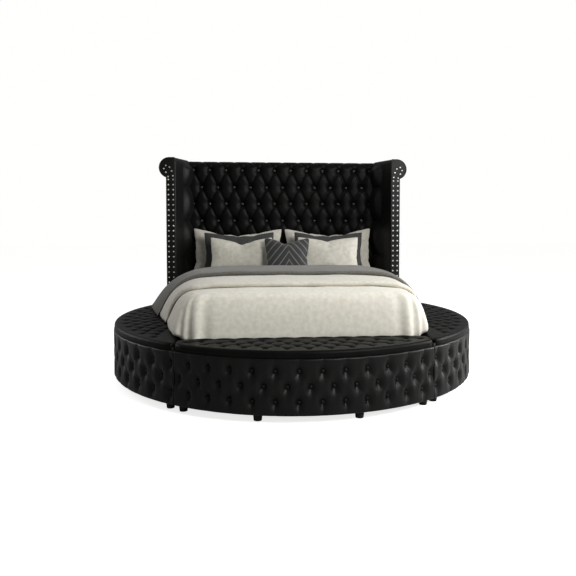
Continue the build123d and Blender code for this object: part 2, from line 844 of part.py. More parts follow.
# Bedding laid over the mattress
duvet_line_y = mattress_foot_y - sheet_gap - sheet_thickness - duvet_foot_gap - duvet_thickness / 2
duvet_line_z = duvet_base_z + duvet_thickness / 2
with BuildPart() as duvet:
    with BuildSketch(Plane.YZ):
        with BuildLine():
            FilletPolyline(
                (duvet_head_y, duvet_line_z),
                (duvet_line_y, duvet_line_z),
                (duvet_line_y, duvet_hem_z),
                radius=mattress_edge_round + duvet_thickness / 2,
            )
        trace(line_width=duvet_thickness)
    extrude(amount=bedding_half_width, both=True)
write(duvet, "duvet")

for name, foot_y, head_y, base_z, thickness in (
    ("coverlet", coverlet_foot_y, coverlet_head_y, coverlet_base_z, coverlet_thickness),
    ("blanket", blanket_foot_y, blanket_head_y, blanket_base_z, blanket_thickness),
):
    with BuildPart() as laid_cover:
        with Locations((0, foot_y, base_z)):
            Box(
                2 * bedding_half_width,
                head_y - foot_y,
                thickness,
                align=(Align.CENTER, Align.MIN, Align.MIN),
            )
        fillet(laid_cover.edges().filter_by(Axis.X), thickness * fold_round_share)
    write(laid_cover, name)

for name, hem_shares, base_z, thickness in (
    ("duvet", duvet_hem_shares, duvet_base_z, duvet_thickness),
    ("coverlet", coverlet_hem_shares, coverlet_base_z, coverlet_thickness),
    ("blanket", blanket_hem_shares, blanket_base_z, blanket_thickness),
):
    with BuildPart() as right_drape:
        for station_share, hem_share in hem_shares:
            station_y, hem_x = station_share * ring_radius, hem_share * ring_radius
            hem_z = lid_top_z + drape_rest_gap
            start_x = bedding_half_width + bedding_gap
            slope = math.atan2(base_z - hem_z, hem_x - start_x)
            bulge_x, bulge_z = drape_sag * math.sin(slope), drape_sag * math.cos(slope)
            with BuildSketch(Plane.XZ.offset(-station_y)):
                with BuildLine():
                    ThreePointArc(
                        (start_x, base_z + thickness),
                        (
                            (start_x + hem_x) / 2 + bulge_x,
                            (base_z + thickness + hem_z + drape_thickness) / 2 + bulge_z,
                        ),
                        (hem_x, hem_z + drape_thickness),
                    )
                    Line((hem_x, hem_z + drape_thickness), (hem_x - drape_thickness, hem_z))
                    ThreePointArc(
                        (hem_x - drape_thickness, hem_z),
                        (
                            (start_x + hem_x - drape_thickness) / 2 + bulge_x,
                            (base_z + hem_z) / 2 + bulge_z,
                        ),
                        (start_x, base_z),
                    )
                    Line((start_x, base_z), (start_x, base_z + thickness))
                make_face()
        loft(ruled=True)
    write(right_drape, f"{name}_right_drape")


# Pillows
def pillow(size):
    """A crowned pillow with pointed corners and drawn-in sides, standing on the sheet and leaning back."""
    lean = math.radians(size["lean"])
    half_width = size["width"] / 2
    half_height = size["height"] / 2
    middle_x = size["x"]
    middle_y = size["y"] + half_height * math.sin(lean)
    middle_z = sheet_top_z + pillow_rest_gap + half_height * math.cos(lean)
    thick_dir = (0, -math.cos(lean), math.sin(lean))
    draw_radius = (half_height ** 2 + pillow_side_draw ** 2) / (2 * pillow_side_draw)
    draw_x = half_width - pillow_side_draw + draw_radius
    with BuildPart() as body:
        for place, tall, crown in zip(pillow_section_shares, pillow_height_shares, pillow_crown_shares):
            section_plane = Plane(
                origin=(middle_x + place * half_width, middle_y, middle_z),
                x_dir=thick_dir,
                z_dir=(1, 0, 0),
            )
            with BuildSketch(section_plane):
                with BuildLine():
                    top = (0, tall * half_height)
                    foot = (0, -tall * half_height)
                    ThreePointArc(foot, (crown * size["thick"] / 2, 0), top)
                    ThreePointArc(top, (-crown * size["thick"] / 2, 0), foot)
                make_face()
        loft(ruled=True)
        with Locations(
            *[
                Plane(origin=(middle_x + side * draw_x, middle_y, middle_z), x_dir=(1, 0, 0), z_dir=thick_dir)
                for side in side_signs.values()
            ]
        ):
            Cylinder(draw_radius, size["thick"], mode=Mode.SUBTRACT)
    return body


write(pillow(sham), "right_sham")
write(pillow(dark_pillow), "right_dark_pillow")
write(pillow(front_pillow), "right_front_pillow")
write(pillow(throw_cushion), "throw_cushion")
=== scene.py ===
"""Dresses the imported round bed: tufted black velvet, nail heads, bedding and pillows. Lengths in metres."""
import math

import bmesh
import bpy
import numpy as np
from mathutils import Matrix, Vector, kdtree


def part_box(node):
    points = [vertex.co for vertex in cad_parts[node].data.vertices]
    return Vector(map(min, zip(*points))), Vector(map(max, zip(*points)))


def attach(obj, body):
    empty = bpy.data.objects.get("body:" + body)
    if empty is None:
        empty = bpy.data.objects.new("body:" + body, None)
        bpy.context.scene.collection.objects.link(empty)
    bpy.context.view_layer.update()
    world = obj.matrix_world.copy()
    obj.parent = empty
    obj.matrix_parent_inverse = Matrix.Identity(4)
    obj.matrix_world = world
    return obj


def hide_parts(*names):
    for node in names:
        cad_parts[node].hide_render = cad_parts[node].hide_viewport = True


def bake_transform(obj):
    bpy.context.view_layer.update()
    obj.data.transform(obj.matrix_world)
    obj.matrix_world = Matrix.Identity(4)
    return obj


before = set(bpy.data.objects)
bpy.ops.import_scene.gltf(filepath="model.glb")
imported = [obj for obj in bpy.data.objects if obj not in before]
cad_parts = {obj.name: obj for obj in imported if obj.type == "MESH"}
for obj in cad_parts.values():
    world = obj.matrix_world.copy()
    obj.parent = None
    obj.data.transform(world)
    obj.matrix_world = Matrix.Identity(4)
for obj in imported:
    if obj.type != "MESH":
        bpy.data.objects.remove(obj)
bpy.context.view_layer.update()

# Sides of the bed
SIDES = {"left": -1, "right": 1}
BENCHES = ("foot", "left", "right")

# Places read from the frame
FOOT_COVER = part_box("foot_bench_cover")
SIDE_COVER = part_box("right_bench_cover")
FOOT_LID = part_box("foot_lid_cushion")
SIDE_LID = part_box("right_lid_cushion")
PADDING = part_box("headboard_padding")
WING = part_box("right_wing_cover")
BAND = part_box("right_wing_band")
RING_RADIUS = -FOOT_COVER[0].y
WALL_FOOT_Z = FOOT_COVER[0].z
WALL_TOP_Z = FOOT_COVER[1].z
LID_BASE_Z = FOOT_LID[0].z
LID_TOP_Z = FOOT_LID[1].z
BED_TOP_Z = PADDING[1].z

# Grids of the detailed meshes
GRID_STEP = 0.006
EDGE_STEPS = np.array((0.0, 0.0015, 0.004, 0.008, 0.013, 0.019))

# Tufts: depth and reach of a pit, depth and width of a fold, and how far the velvet's crown lies back
TUFT_SIZES = ("pit", "across", "along", "fold", "fold_width", "crown")
WALL_TUFT = dict(zip(TUFT_SIZES, (0.027, 0.023, 0.040, 0.0025, 0.010, 0.003)))
LID_TUFT = dict(zip(TUFT_SIZES, (0.014, 0.017, 0.017, 0.006, 0.009, 0.005)))
HEADBOARD_TUFT = dict(zip(TUFT_SIZES, (0.036, 0.030, 0.036, 0.011, 0.012, 0.008)))
DOME_SIDES = 14
DOME_RINGS = 4

# Bench walls
SIDE_MIDDLE = 81.14
SIDE_GAP = 0.06
PAD_THICKNESS = 0.0357
PAD_EDGE_ROUND = 0.011
SEAM_ROUND = 0.008
WALL_ROW_SHARES = (0.23, 0.50, 0.77)
MIDDLE_ROW_TUFTS = 13
FOOT_TUFT_STEP = 5.8
SIDE_TUFT_STEP = 6.7
BUTTON_END_GAP = 0.6
WALL_BUTTON_DEPTH = 0.022
BUTTON_RADIUS = 0.0115
BUTTON_HEIGHT = 0.006

# Lids
LID_EDGE_ROUND = 0.020
LID_CORNER = 0.045
LID_TUFT_BORDER = 0.088
LID_TUFT_ROW = 0.068
LID_TUFT_MARGIN = 0.048
LID_BUTTON_RADIUS = 0.009
LID_BUTTON_HEIGHT = 0.004
LID_WRAP = 0.0115
LID_FOLD_END = 0.03
LIP_RISE = 0.0065
LIP_PITCH = 0.125
LIP_WIDTH = 0.016
LIP_ROUND = 0.006
LID_BOARD = 0.0152
# Rings below the lid's rim: how far in, and the height above its base
LID_SKIRT = ((0.0, 0.012), (0.0005, 0.004), (0.004, 0.0), (LID_WRAP, 0.0), (LID_WRAP, LID_BOARD))
SIDE_TIP_TURN = 0.022
SIDE_TIP_BACK = 0.036

# Headboard
FRONT_ROLL = 0.093
BACK_ROLL = 0.097
HEADBOARD_PITCH = 0.1605
HEADBOARD_ROW = 0.166
HEADBOARD_FIRST_ROW_Z = 1.675
HEADBOARD_ROWS = 8
HEADBOARD_COLUMNS = 12
HEADBOARD_BUTTON_DEPTH = 0.033
HEADBOARD_BUTTON_RADIUS = 0.013
HEADBOARD_BUTTON_HEIGHT = 0.008
HEADBOARD_PAD = 0.070
PADDING_HALF_WIDTH = 0.919
ROLL_END_ROUND = 0.012
ROLL_PLEAT = 0.006
ROLL_PLEAT_WIDTH = 0.012

# Wings
WING_OUTER_X = 1.100
WING_FRONT_Y = WING[0].y
WING_BACK_Y = WING[1].y
WING_BACK_INNER_X = 0.920
WING_BAND_WIDTH = 0.086
WING_EDGE_ROUND = 0.008
SCROLL_CENTRE_X = 1.067
SCROLL_CENTRE_Z = BED_TOP_Z - BACK_ROLL
WING_TOP_ROUND = 0.028
WING_TUFT_Y = 0.985
WING_BULGE = 0.042
WING_SETTLE = 0.009
BAND_INSET = 0.005
# Rings of the band's rounded front edge: how far in, and how far behind its face
BAND_EDGE = ((BAND_INSET, 0.003), (0.0065, 0.0012), (0.010, 0.0002), (0.016, 0.0))
NAIL_RADIUS = 0.0070
NAIL_HEIGHT = 0.0038
NAIL_PITCH = 0.048
NAIL_COLUMNS = (0.022, 0.065)
NAIL_FIRST_Z = 0.455
NAIL_COUNT = 24
SCROLL_NAILS = (
    (0.14, -0.86), (0.35, -0.46), (0.53, -0.11), (0.33, 0.19), (0.0, 0.03), (-0.2, -0.33), (-0.31, -0.79),
)
PIPING_RADIUS = 0.0042


# Mesh helpers
def mesh_piece(name, points, faces, material, body, replaced=()):
    """Makes a mesh object that rides on a body and stands for CAD nodes."""
    mesh = bpy.data.meshes.new(name)
    mesh.from_pydata([tuple(p) for p in points], [], [tuple(int(i) for i in f) for f in faces])
    mesh.update()
    work = bmesh.new()
    work.from_mesh(mesh)
    bmesh.ops.recalc_face_normals(work, faces=work.faces)
    work.to_mesh(mesh)
    work.free()
    mesh.shade_smooth()
    piece = bpy.data.objects.new(name, mesh)
    bpy.context.collection.objects.link(piece)
    mesh.materials.append(material)
    if body:
        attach(piece, body)
    if replaced:
        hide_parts(*replaced)
    return piece


def point_grid(rows, columns, start=0):
    """Numbers of a grid's points, stored row by row."""
    return np.arange(start, start + rows * columns).reshape(rows, columns)


def quads_of(index):
    """Quads between the neighbours of a grid of point numbers."""
    return np.stack([index[:-1, :-1], index[:-1, 1:], index[1:, 1:], index[1:, :-1]], axis=-1)


def wrapped_faces(index):
    """Quads of a grid of point numbers whose last column meets its first."""
    return quads_of(np.hstack([index, index[:, :1]])).reshape(-1, 4).tolist()


def loop_tube(loops):
    """Points and faces of closed loops joined in a row, with a flat cap on each end."""
    loops = np.array(loops)
    index = point_grid(*loops.shape[:2])
    return loops.reshape(-1, 3), wrapped_faces(index) + [index[0].tolist(), index[-1].tolist()]


def edged_stations(length, step=GRID_STEP):
    """Places along a length that lie closer together at both ends."""
    border = EDGE_STEPS[-1]
    inner_count = max(int((length - 2 * border) / step), 2)
    inner = np.linspace(border, length - border, inner_count + 1)[1:-1]
    return np.concatenate([EDGE_STEPS, inner, length - EDGE_STEPS[::-1]])


def smooth_step(value, low, high):
    """0 below low, 1 above high, and a smooth turn between."""
    share = np.clip((value - low) / (high - low), 0, 1)
    return share * share * (3 - 2 * share)


def edge_drop(away, radius):
    """How far a rounded edge lies below its flat, from the distances to the border."""
    inside = np.clip(radius - away, 0, radius)
    return radius - np.sqrt(np.maximum(radius ** 2 - inside ** 2, 0))


def path_lengths(points):
    """Distances along a path of points, from its start."""
    return np.concatenate([[0], np.cumsum(np.linalg.norm(np.diff(points, axis=0), axis=1))])


def unit_rows(vectors):
    """Vectors brought to length one."""
    return vectors / np.linalg.norm(vectors, axis=1)[:, None]


def ripple(x, y, size, seed):
    """Soft repeatable waves between about -1 and 1, with features of the given size."""
    turn = 2 * math.pi / size
    total = np.zeros(np.broadcast(x, y).shape)
    for step in range(5):
        heading = seed * 1.7 + step * 2.399
        stretch = turn * (0.7 + 0.23 * step)
        along = x * math.cos(heading) + y * math.sin(heading)
        total = total + np.sin(along * stretch + seed * 3.1 + step * 1.3)
    return total / 3


# Tufting
def tuft_sink(u, v, buttons, folds, size):
    """How far velvet lies below its crown at points of a flat map: pits at buttons, folds along segments."""
    shape = u.shape
    u, v = u.ravel(), v.ravel()
    pit = np.zeros(u.shape)
    near = np.full(u.shape, 1.0)
    for bu, bv in buttons:
        away = np.hypot((u - bu) / size["across"], (v - bv) / size["along"])
        pit = np.maximum(pit, size["pit"] * np.exp(-(away ** 1.7)))
        near = np.minimum(near, away * size["across"])
    groove = np.zeros(u.shape)
    for (au, av, strength_a), (bu, bv, strength_b) in folds:
        du, dv = bu - au, bv - av
        share = np.clip(((u - au) * du + (v - av) * dv) / (du * du + dv * dv), 0, 1)
        away = np.hypot(u - au - share * du, v - av - share * dv)
        middle = 1 - 0.55 * np.sin(math.pi * share)
        strength = (strength_a + (strength_b - strength_a) * share) * middle
        depth = size["fold"] * strength * np.exp(-((away / size["fold_width"]) ** 1.3))
        groove = np.maximum(groove, depth)
        near = np.minimum(near, away / np.maximum(strength, 0.05))
    sink = (pit ** 3 + groove ** 3) ** (1 / 3)
    crown = size["crown"] * np.exp(-near / (2.2 * size["fold_width"]))
    return (sink + crown).reshape(shape)


def tuft_rows(rows):
    """Buttons of staggered rows and the folds between neighbours in rows that follow each other."""
    buttons = [place for row in rows for place in row]
    folds = []
    for upper, lower in zip(rows, rows[1:]):
        pitch = abs(upper[1][0] - upper[0][0])
        for u, v in upper:
            for w, t in lower:
                if abs(u - w) < 0.75 * pitch:
                    folds.append(((u, v, 1.0), (w, t, 1.0)))
    return buttons, folds


def dome_cloud(name, places, radius, height, material, body, replaced):
    """Domed buttons or nail heads: places are (centre, outward direction)."""
    points, faces = [], []
    for centre, out in places:
        centre, out = np.array(centre), np.array(out) / np.linalg.norm(out)
        across = np.cross(out, (0, 0, 1.0) if abs(out[2]) < 0.9 else (0, 1.0, 0))
        across /= np.linalg.norm(across)
        up = np.cross(across, out)
        index = point_grid(DOME_RINGS + 1, DOME_SIDES, len(points))
        for ring in range(DOME_RINGS + 1):
            turn = ring / (DOME_RINGS + 0.35) * math.pi / 2
            r, h = radius * math.cos(turn), height * math.sin(turn)
            for side in range(DOME_SIDES):
                angle = 2 * math.pi * side / DOME_SIDES
                points.append(centre + out * h + r * (across * math.cos(angle) + up * math.sin(angle)))
        faces += wrapped_faces(index) + [index[0].tolist(), index[-1].tolist()]
    return mesh_piece(name, points, faces, material, body, replaced)


# Materials
def add_node(tree, kind, **inputs):
    """A node with some of its inputs set."""
    node = tree.nodes.new(kind)
    for key, value in inputs.items():
        node.inputs[key.replace("_", " ")].default_value = value
    return node


def join(source, output, target, entry):
    """Links a node's output to another node's input."""
    source.id_data.links.new(source.outputs[output], target.inputs[entry])


def new_material(name, color, roughness, **inputs):
    """A node material and its shader, ready for detail."""
    material = bpy.data.materials.new(name)
    material.use_nodes = True
    shader = material.node_tree.nodes["Principled BSDF"]
    shader.inputs["Base Color"].default_value = (*color, 1)
    shader.inputs["Roughness"].default_value = roughness
    for key, value in inputs.items():
        shader.inputs[key.replace("_", " ")].default_value = value
    return material, shader


def noise_node(coords, scale, detail):
    """Noise over a piece's own coordinates."""
    noise = add_node(coords.id_data, "ShaderNodeTexNoise", Scale=scale, Detail=detail)
    join(coords, "Object", noise, "Vector")
    return noise


def ramp_node(tree, *stops):
    """A colour ramp with two stops, each a place and a colour."""
    ramp = tree.nodes.new("ShaderNodeValToRGB")
    for element, (place, color) in zip(ramp.color_ramp.elements, stops):
        element.position = place
        element.color = (*color, 1)
    return ramp


def noise_color(shader, dark, light, scale, detail=4.0, stretch=(1, 1, 1)):
    """Colour that drifts between two shades with object-space noise; gives back the coordinates."""
    tree = shader.id_data
    coords = tree.nodes.new("ShaderNodeTexCoord")
    mapping = add_node(tree, "ShaderNodeMapping", Scale=stretch)
    noise = add_node(tree, "ShaderNodeTexNoise", Scale=scale, Detail=detail)
    ramp = ramp_node(tree, (0.35, dark), (0.65, light))
    join(coords, "Object", mapping, "Vector")
    join(mapping, "Vector", noise, "Vector")
    join(noise, "Fac", ramp, "Fac")
    join(ramp, "Color", shader, "Base Color")
    return coords


def bump_from(source, output, shader, strength, distance):
    """Bump on a shader from a height."""
    bump = add_node(shader.id_data, "ShaderNodeBump", Strength=strength, Distance=distance)
    join(source, output, bump, "Height")
    join(bump, "Normal", shader, "Normal")


def math_node(source, output, operation, number=None):
    """A math node fed by another node and, where one is given, a number."""
    node = source.id_data.nodes.new("ShaderNodeMath")
    node.operation = operation
    join(source, output, node, 0)
    if number is not None:
        node.inputs[1].default_value = number
    return node


def velvet_material(name, dark, light, sheen=0.03, shine=0.15):
    """Deep pile: nearly black, with a sheen that shows where it turns away, and brushed nap."""
    material, shader = new_material(
        name, dark, 0.42, Sheen_Weight=sheen, Sheen_Roughness=0.40, Sheen_Tint=(0.80, 0.78, 0.74, 1),
        Specular_IOR_Level=shine,
    )
    coords = noise_color(shader, dark, light, 9.0, stretch=(1, 1, 0.6))
    bump_from(noise_node(coords, 520.0, 2.0), "Fac", shader, 0.35, 0.0012)
    return material


def woven_material(name, dark, light, thread=700.0, slub=26.0, strength=0.35, sheen=0.12):
    """Plain weave: crossed threads with slubs, and colour that drifts a little."""
    material, shader = new_material(name, light, 0.88, Sheen_Weight=sheen)
    coords = noise_color(shader, dark, light, slub)
    both = add_node(shader.id_data, "ShaderNodeMath")
    both.operation = "MAXIMUM"
    for entry, direction in enumerate("XZ"):
        wave = add_node(shader.id_data, "ShaderNodeTexWave", Scale=thread / 10, Distortion=1.2, Detail=1.0)
        wave.bands_direction = direction
        join(coords, "Object", wave, "Vector")
        join(wave, "Fac", both, entry)
    bump_from(both, "Value", shader, strength, 0.0009)
    return material


def chevron_material(name, dark, light):
    """Dark woven cloth with nested bent lines in a lighter thread, laid out on the piece's UV map."""
    material, shader = new_material(name, dark, 0.85, Sheen_Weight=0.15)
    tree = shader.id_data
    place = tree.nodes.new("ShaderNodeUVMap")
    place.uv_map = "pattern"
    split = tree.nodes.new("ShaderNodeSeparateXYZ")
    join(place, "UV", split, "Vector")
    bent = math_node(split, "X", "SUBTRACT", 0.52)
    for operation, number in (("ABSOLUTE", None), ("POWER", 0.85), ("MULTIPLY", 1.25)):
        bent = math_node(bent, "Value", operation, number)
    total = math_node(bent, "Value", "ADD")
    join(split, "Y", total, 1)
    bands = math_node(total, "Value", "MULTIPLY", 5.0)
    part = math_node(bands, "Value", "FRACT")
    ramp = ramp_node(tree, (0.0, light), (0.22, dark))
    join(part, "Value", ramp, "Fac")
    noise = noise_node(tree.nodes.new("ShaderNodeTexCoord"), 70.0, 3.0)
    worn = tree.nodes.new("ShaderNodeMix")
    worn.data_type = "RGBA"
    worn.blend_type = "MULTIPLY"
    worn.inputs["Factor"].default_value = 0.6
    join(ramp, "Color", worn, "A")
    join(noise, "Color", worn, "B")
    join(worn, "Result", shader, "Base Color")
    bump_from(part, "Value", shader, 0.3, 0.002)
    return material


def wood_material(name, dark, light):
    """Planed softwood with long grain."""
    material, shader = new_material(name, light, 0.6)
    coords = noise_color(shader, dark, light, 5.0, detail=8.0, stretch=(1.2, 9, 9))
    bump_from(noise_node(coords, 60.0, 5.0), "Fac", shader, 0.2, 0.0008)
    return material


def metal_material(name, color, roughness):
    """Plated metal with faint brushing."""
    material, shader = new_material(name, color, roughness, Metallic=1.0)
    coords = noise_color(shader, tuple(0.82 * c for c in color), color, 60.0)
    bump_from(noise_node(coords, 240.0, 3.0), "Fac", shader, 0.08, 0.0004)
    return material


BLACKS = (0.0022, 0.0022, 0.0020), (0.0040, 0.0039, 0.0036)
# Painted shade: the headboard's velvet is a darker copy of the black velvet, to carry the shade it stands in.
HEADBOARD_SHADED_BLACKS = (0.0016, 0.0016, 0.0014), (0.0026, 0.0025, 0.0023)
# Painted highlight: the headboard's buttons are a lighter copy of the black velvet, to show the light they
# catch.
BUTTON_HIGHLIGHT_BLACKS = (0.010, 0.010, 0.009), (0.016, 0.016, 0.015)
PIPING_BLACKS = (0.006, 0.006, 0.006), (0.011, 0.011, 0.010)
FEET_BLACKS = (0.008, 0.008, 0.008), (0.014, 0.014, 0.014)
CLOTH_BLACKS = (0.006, 0.006, 0.006), (0.010, 0.010, 0.010)
PINE = (0.42, 0.27, 0.14), (0.60, 0.42, 0.25)
STAINED = (0.010, 0.009, 0.008), (0.022, 0.019, 0.016)
TICKING_WHITES = (0.70, 0.69, 0.66), (0.80, 0.79, 0.76)
SHEET_WHITES = (0.60, 0.585, 0.53), (0.68, 0.665, 0.61)
DUVET_IVORIES = (0.59, 0.565, 0.485), (0.68, 0.655, 0.575)
COVERLET_IVORIES = (0.53, 0.508, 0.436), (0.61, 0.588, 0.516)
# The pillows' own ivory, set darker than the duvet's to carry painted shade on the pillows.
PILLOW_IVORIES_AND_SHADE = (0.405, 0.387, 0.33), (0.484, 0.462, 0.405)
BLANKET_GREYS = (0.086, 0.081, 0.070), (0.124, 0.117, 0.102)
CHARCOALS = (0.018, 0.018, 0.017), (0.034, 0.033, 0.032)
STRIPES = (0.022, 0.022, 0.021), (0.24, 0.24, 0.23)
VELVET = velvet_material("black_velvet", *BLACKS, shine=0.18)
LID_VELVET = velvet_material("lid_velvet", *BLACKS, 0.015, 0.06)
DARK_BUTTONS = velvet_material("bench_button_velvet", *BLACKS)
# The headboard's velvet: the black velvet darkened with painted shade.
HEADBOARD_SHADED_VELVET = velvet_material("headboard_velvet", *HEADBOARD_SHADED_BLACKS, 0.02, 0.07)
# Headboard buttons: black velvet made lighter as a painted highlight.
HIGHLIGHTED_BUTTON_VELVET = velvet_material("button_velvet", *BUTTON_HIGHLIGHT_BLACKS, 0.30, 0.45)
PIPING = velvet_material("piping_velvet", *PIPING_BLACKS)
CHROME = metal_material("nail_chrome", (0.70, 0.68, 0.63), 0.30)
STEEL = metal_material("hinge_steel", (0.52, 0.52, 0.53), 0.35)
BLACK_PLASTIC = woven_material("black_feet", *FEET_BLACKS, 90.0, 14.0, 0.1, 0.0)
WOOD = wood_material("frame_wood", *PINE)
STAINED_WOOD = wood_material("stained_frame_wood", *STAINED)
TICKING = woven_material("mattress_ticking", *TICKING_WHITES)
SHEET = woven_material("white_sheet", *SHEET_WHITES, 900.0, 12.0, 0.15)
IVORY = woven_material("ivory_bedding", *DUVET_IVORIES, 420.0, 34.0, 0.4)
GREY = woven_material("grey_blanket", *BLANKET_GREYS, 300.0, 60.0, 0.7)
COVERLET = woven_material("ivory_coverlet", *COVERLET_IVORIES, 420.0, 34.0, 0.4)
PILLOW_IVORY_AND_SHADE = woven_material("ivory_pillow", *PILLOW_IVORIES_AND_SHADE, 600.0, 30.0, 0.35)
CHARCOAL = woven_material("charcoal_pillow", *CHARCOALS, 520.0, 90.0, 0.5)
STRIPED = chevron_material("striped_cushion", *STRIPES)
BACK_CLOTH = woven_material("back_cloth", *CLOTH_BLACKS, 500.0, 20.0, 0.2, 0.05)


# Bench walls
def velvet_tube(name, loops, node, material=VELVET):
    """Padded velvet of closed loops that stands for a node of the frame."""
    points, faces = loop_tube(loops)
    piece = mesh_piece(name, points, faces, material, "frame", [node])


def wall_tufts(bench):
    """Buttons of a bench wall by angle from the foot and height, row by row."""
    foot = bench == "foot"
    middle, step = (0.0, FOOT_TUFT_STEP) if foot else (SIDE_MIDDLE, SIDE_TUFT_STEP)
    outer_count = MIDDLE_ROW_TUFTS - 1 if foot else MIDDLE_ROW_TUFTS + 1
    rows = []
    for share, count in zip(WALL_ROW_SHARES, (outer_count, MIDDLE_ROW_TUFTS, outer_count)):
        z = WALL_TOP_Z - share * (WALL_TOP_Z - WALL_FOOT_Z)
        rows.append([(middle + (c - (count - 1) / 2) * step, z) for c in range(count)])
    return rows


def wall_profile():
    """Radii and heights round a bench wall's padding; the last three places are its flat back."""
    edge = PAD_EDGE_ROUND
    face_z = np.linspace(WALL_FOOT_Z + edge, WALL_TOP_Z - edge, 56)
    low_turns = np.radians(np.linspace(-90, -15, 5))
    high_turns = np.radians(np.linspace(15, 90, 5))
    radii = np.concatenate([
        RING_RADIUS - edge + edge * np.cos(low_turns),
        np.full(face_z.shape, RING_RADIUS),
        RING_RADIUS - edge + edge * np.cos(high_turns),
        np.full(3, RING_RADIUS - PAD_THICKNESS),
    ])
    heights = np.concatenate([
        WALL_FOOT_Z + edge + edge * np.sin(low_turns),
        face_z,
        WALL_TOP_Z - edge + edge * np.sin(high_turns),
        [WALL_TOP_Z, (WALL_TOP_Z + WALL_FOOT_Z) / 2, WALL_FOOT_Z],
    ])
    return radii, heights


def bench_wall(bench):
    """Tufted padding of a bench's curved wall, with its buttons."""
    sign = SIDES.get(bench, 1)
    seam = math.degrees(math.asin(FOOT_COVER[1].x / RING_RADIUS))
    if bench == "foot":
        first, last = -seam, seam
    else:
        first = seam + SIDE_GAP
        last = 90 + math.degrees(math.asin(SIDE_COVER[1].y / RING_RADIUS))
    radii, heights = wall_profile()
    faced = len(radii) - 3
    arc_length = math.radians(last - first) * RING_RADIUS
    shares = edged_stations(arc_length) / arc_length
    back_end = 90 + np.degrees(np.arcsin(SIDE_COVER[1].y / radii))
    last_angles = np.full(radii.shape, last) if bench == "foot" else back_end
    angles = first + shares[:, None] * (last_angles[None, :] - first)
    rows = wall_tufts(bench)
    flat_rows = [[(math.radians(a) * RING_RADIUS, z) for a, z in row] for row in rows]
    buttons, folds = tuft_rows(flat_rows)
    folds += [((u, z, 0.75), (u, WALL_TOP_Z, 0.35)) for u, z in flat_rows[0]]
    folds += [((u, z, 0.9), (u, WALL_FOOT_Z, 0.6)) for u, z in flat_rows[-1]]
    u = np.radians(angles[:, :faced]) * RING_RADIUS
    v = np.broadcast_to(heights[:faced], u.shape)
    sink = tuft_sink(u, v, buttons, folds, WALL_TUFT)
    sink = sink * np.clip((radii[:faced] - RING_RADIUS + PAD_EDGE_ROUND) / PAD_EDGE_ROUND, 0, 1)
    ends = np.minimum(u - math.radians(first) * RING_RADIUS, math.radians(last) * RING_RADIUS - u)
    reach = np.broadcast_to(radii, angles.shape).copy()
    reach[:, :faced] -= sink + edge_drop(ends, SEAM_ROUND)
    turn = np.radians(angles)
    x, y = sign * reach * np.sin(turn), -reach * np.cos(turn)
    loops = np.stack([x, y, np.broadcast_to(heights, turn.shape)], axis=-1)
    velvet_tube(f"{bench}_wall_velvet", loops, f"{bench}_bench_cover")
    seat = RING_RADIUS - WALL_BUTTON_DEPTH
    places = []
    for angle, z in [place for row in rows for place in row]:
        if first + BUTTON_END_GAP < angle < last - BUTTON_END_GAP:
            out = (sign * math.sin(math.radians(angle)), -math.cos(math.radians(angle)), 0)
            places.append(((out[0] * seat, out[1] * seat, z), out))
    dome_cloud(
        f"{bench}_wall_buttons", places, BUTTON_RADIUS, BUTTON_HEIGHT, DARK_BUTTONS, "frame",
        [f"{bench}_bench_buttons"],
    )


# Lids
def lid_tufts(bench):
    """Buttons of a lid on staggered arcs round the bed's middle, as rows of half steps and plan places."""
    foot = bench == "foot"
    middle, step = (0.0, FOOT_TUFT_STEP) if foot else (SIDE_MIDDLE, SIDE_TUFT_STEP)
    inner = (-FOOT_LID[1].y if foot else SIDE_LID[0].x) + LID_TUFT_MARGIN
    rows = []
    radius = RING_RADIUS - LID_TUFT_BORDER
    while radius > inner:
        row = []
        for half_steps in range(-14 + len(rows) % 2, 15, 2):
            turn = math.radians(middle + half_steps * step / 2)
            x, y = radius * math.sin(turn), -radius * math.cos(turn)
            if foot:
                inside = -y > inner and abs(x) < FOOT_LID[1].x - LID_TUFT_MARGIN
            else:
                inside = x > inner and y < SIDE_LID[1].y - LID_TUFT_MARGIN
            if inside:
                row.append((half_steps, x, y))
        rows.append(row)
        radius -= LID_TUFT_ROW
    return rows


def lid_grid(bench):
    """Plan grid of a lid between its straight inner edge and its curved outer edge."""
    outer_radius = -FOOT_LID[0].y
    if bench == "foot":
        half = FOOT_LID[1].x
        along = edged_stations(2 * half) - half
        inner = np.stack([along, np.full(along.shape, FOOT_LID[1].y)], axis=-1)
        outer = np.stack([along, -np.sqrt(outer_radius ** 2 - along ** 2)], axis=-1)
    else:
        inner_x, end_y = SIDE_LID[0].x, SIDE_LID[1].y
        tip = math.acos(inner_x / outer_radius)
        first, last = -tip + SIDE_TIP_TURN, math.asin(end_y / outer_radius)
        length = outer_radius * (last - first)
        shares = edged_stations(length) / length
        turn = first + shares * (last - first)
        tip_y = -outer_radius * math.sin(tip) + SIDE_TIP_BACK
        inner = np.stack([np.full(shares.shape, inner_x), tip_y + shares * (end_y - tip_y)], axis=-1)
        outer = np.stack([outer_radius * np.cos(turn), outer_radius * np.sin(turn)], axis=-1)
    widths = np.linalg.norm(outer - inner, axis=1)
    middle_count = len(edged_stations(widths.max())) - 2 * len(EDGE_STEPS) + 2
    columns = []
    for width in widths:
        low = EDGE_STEPS * min(1.0, 0.4 * width / EDGE_STEPS[-1])
        middle = np.linspace(low[-1], width - low[-1], middle_count)[1:-1]
        columns.append(np.concatenate([low, middle, width - low[::-1]]) / width)
    return inner[:, None, :] + np.array(columns)[..., None] * (outer - inner)[:, None, :]


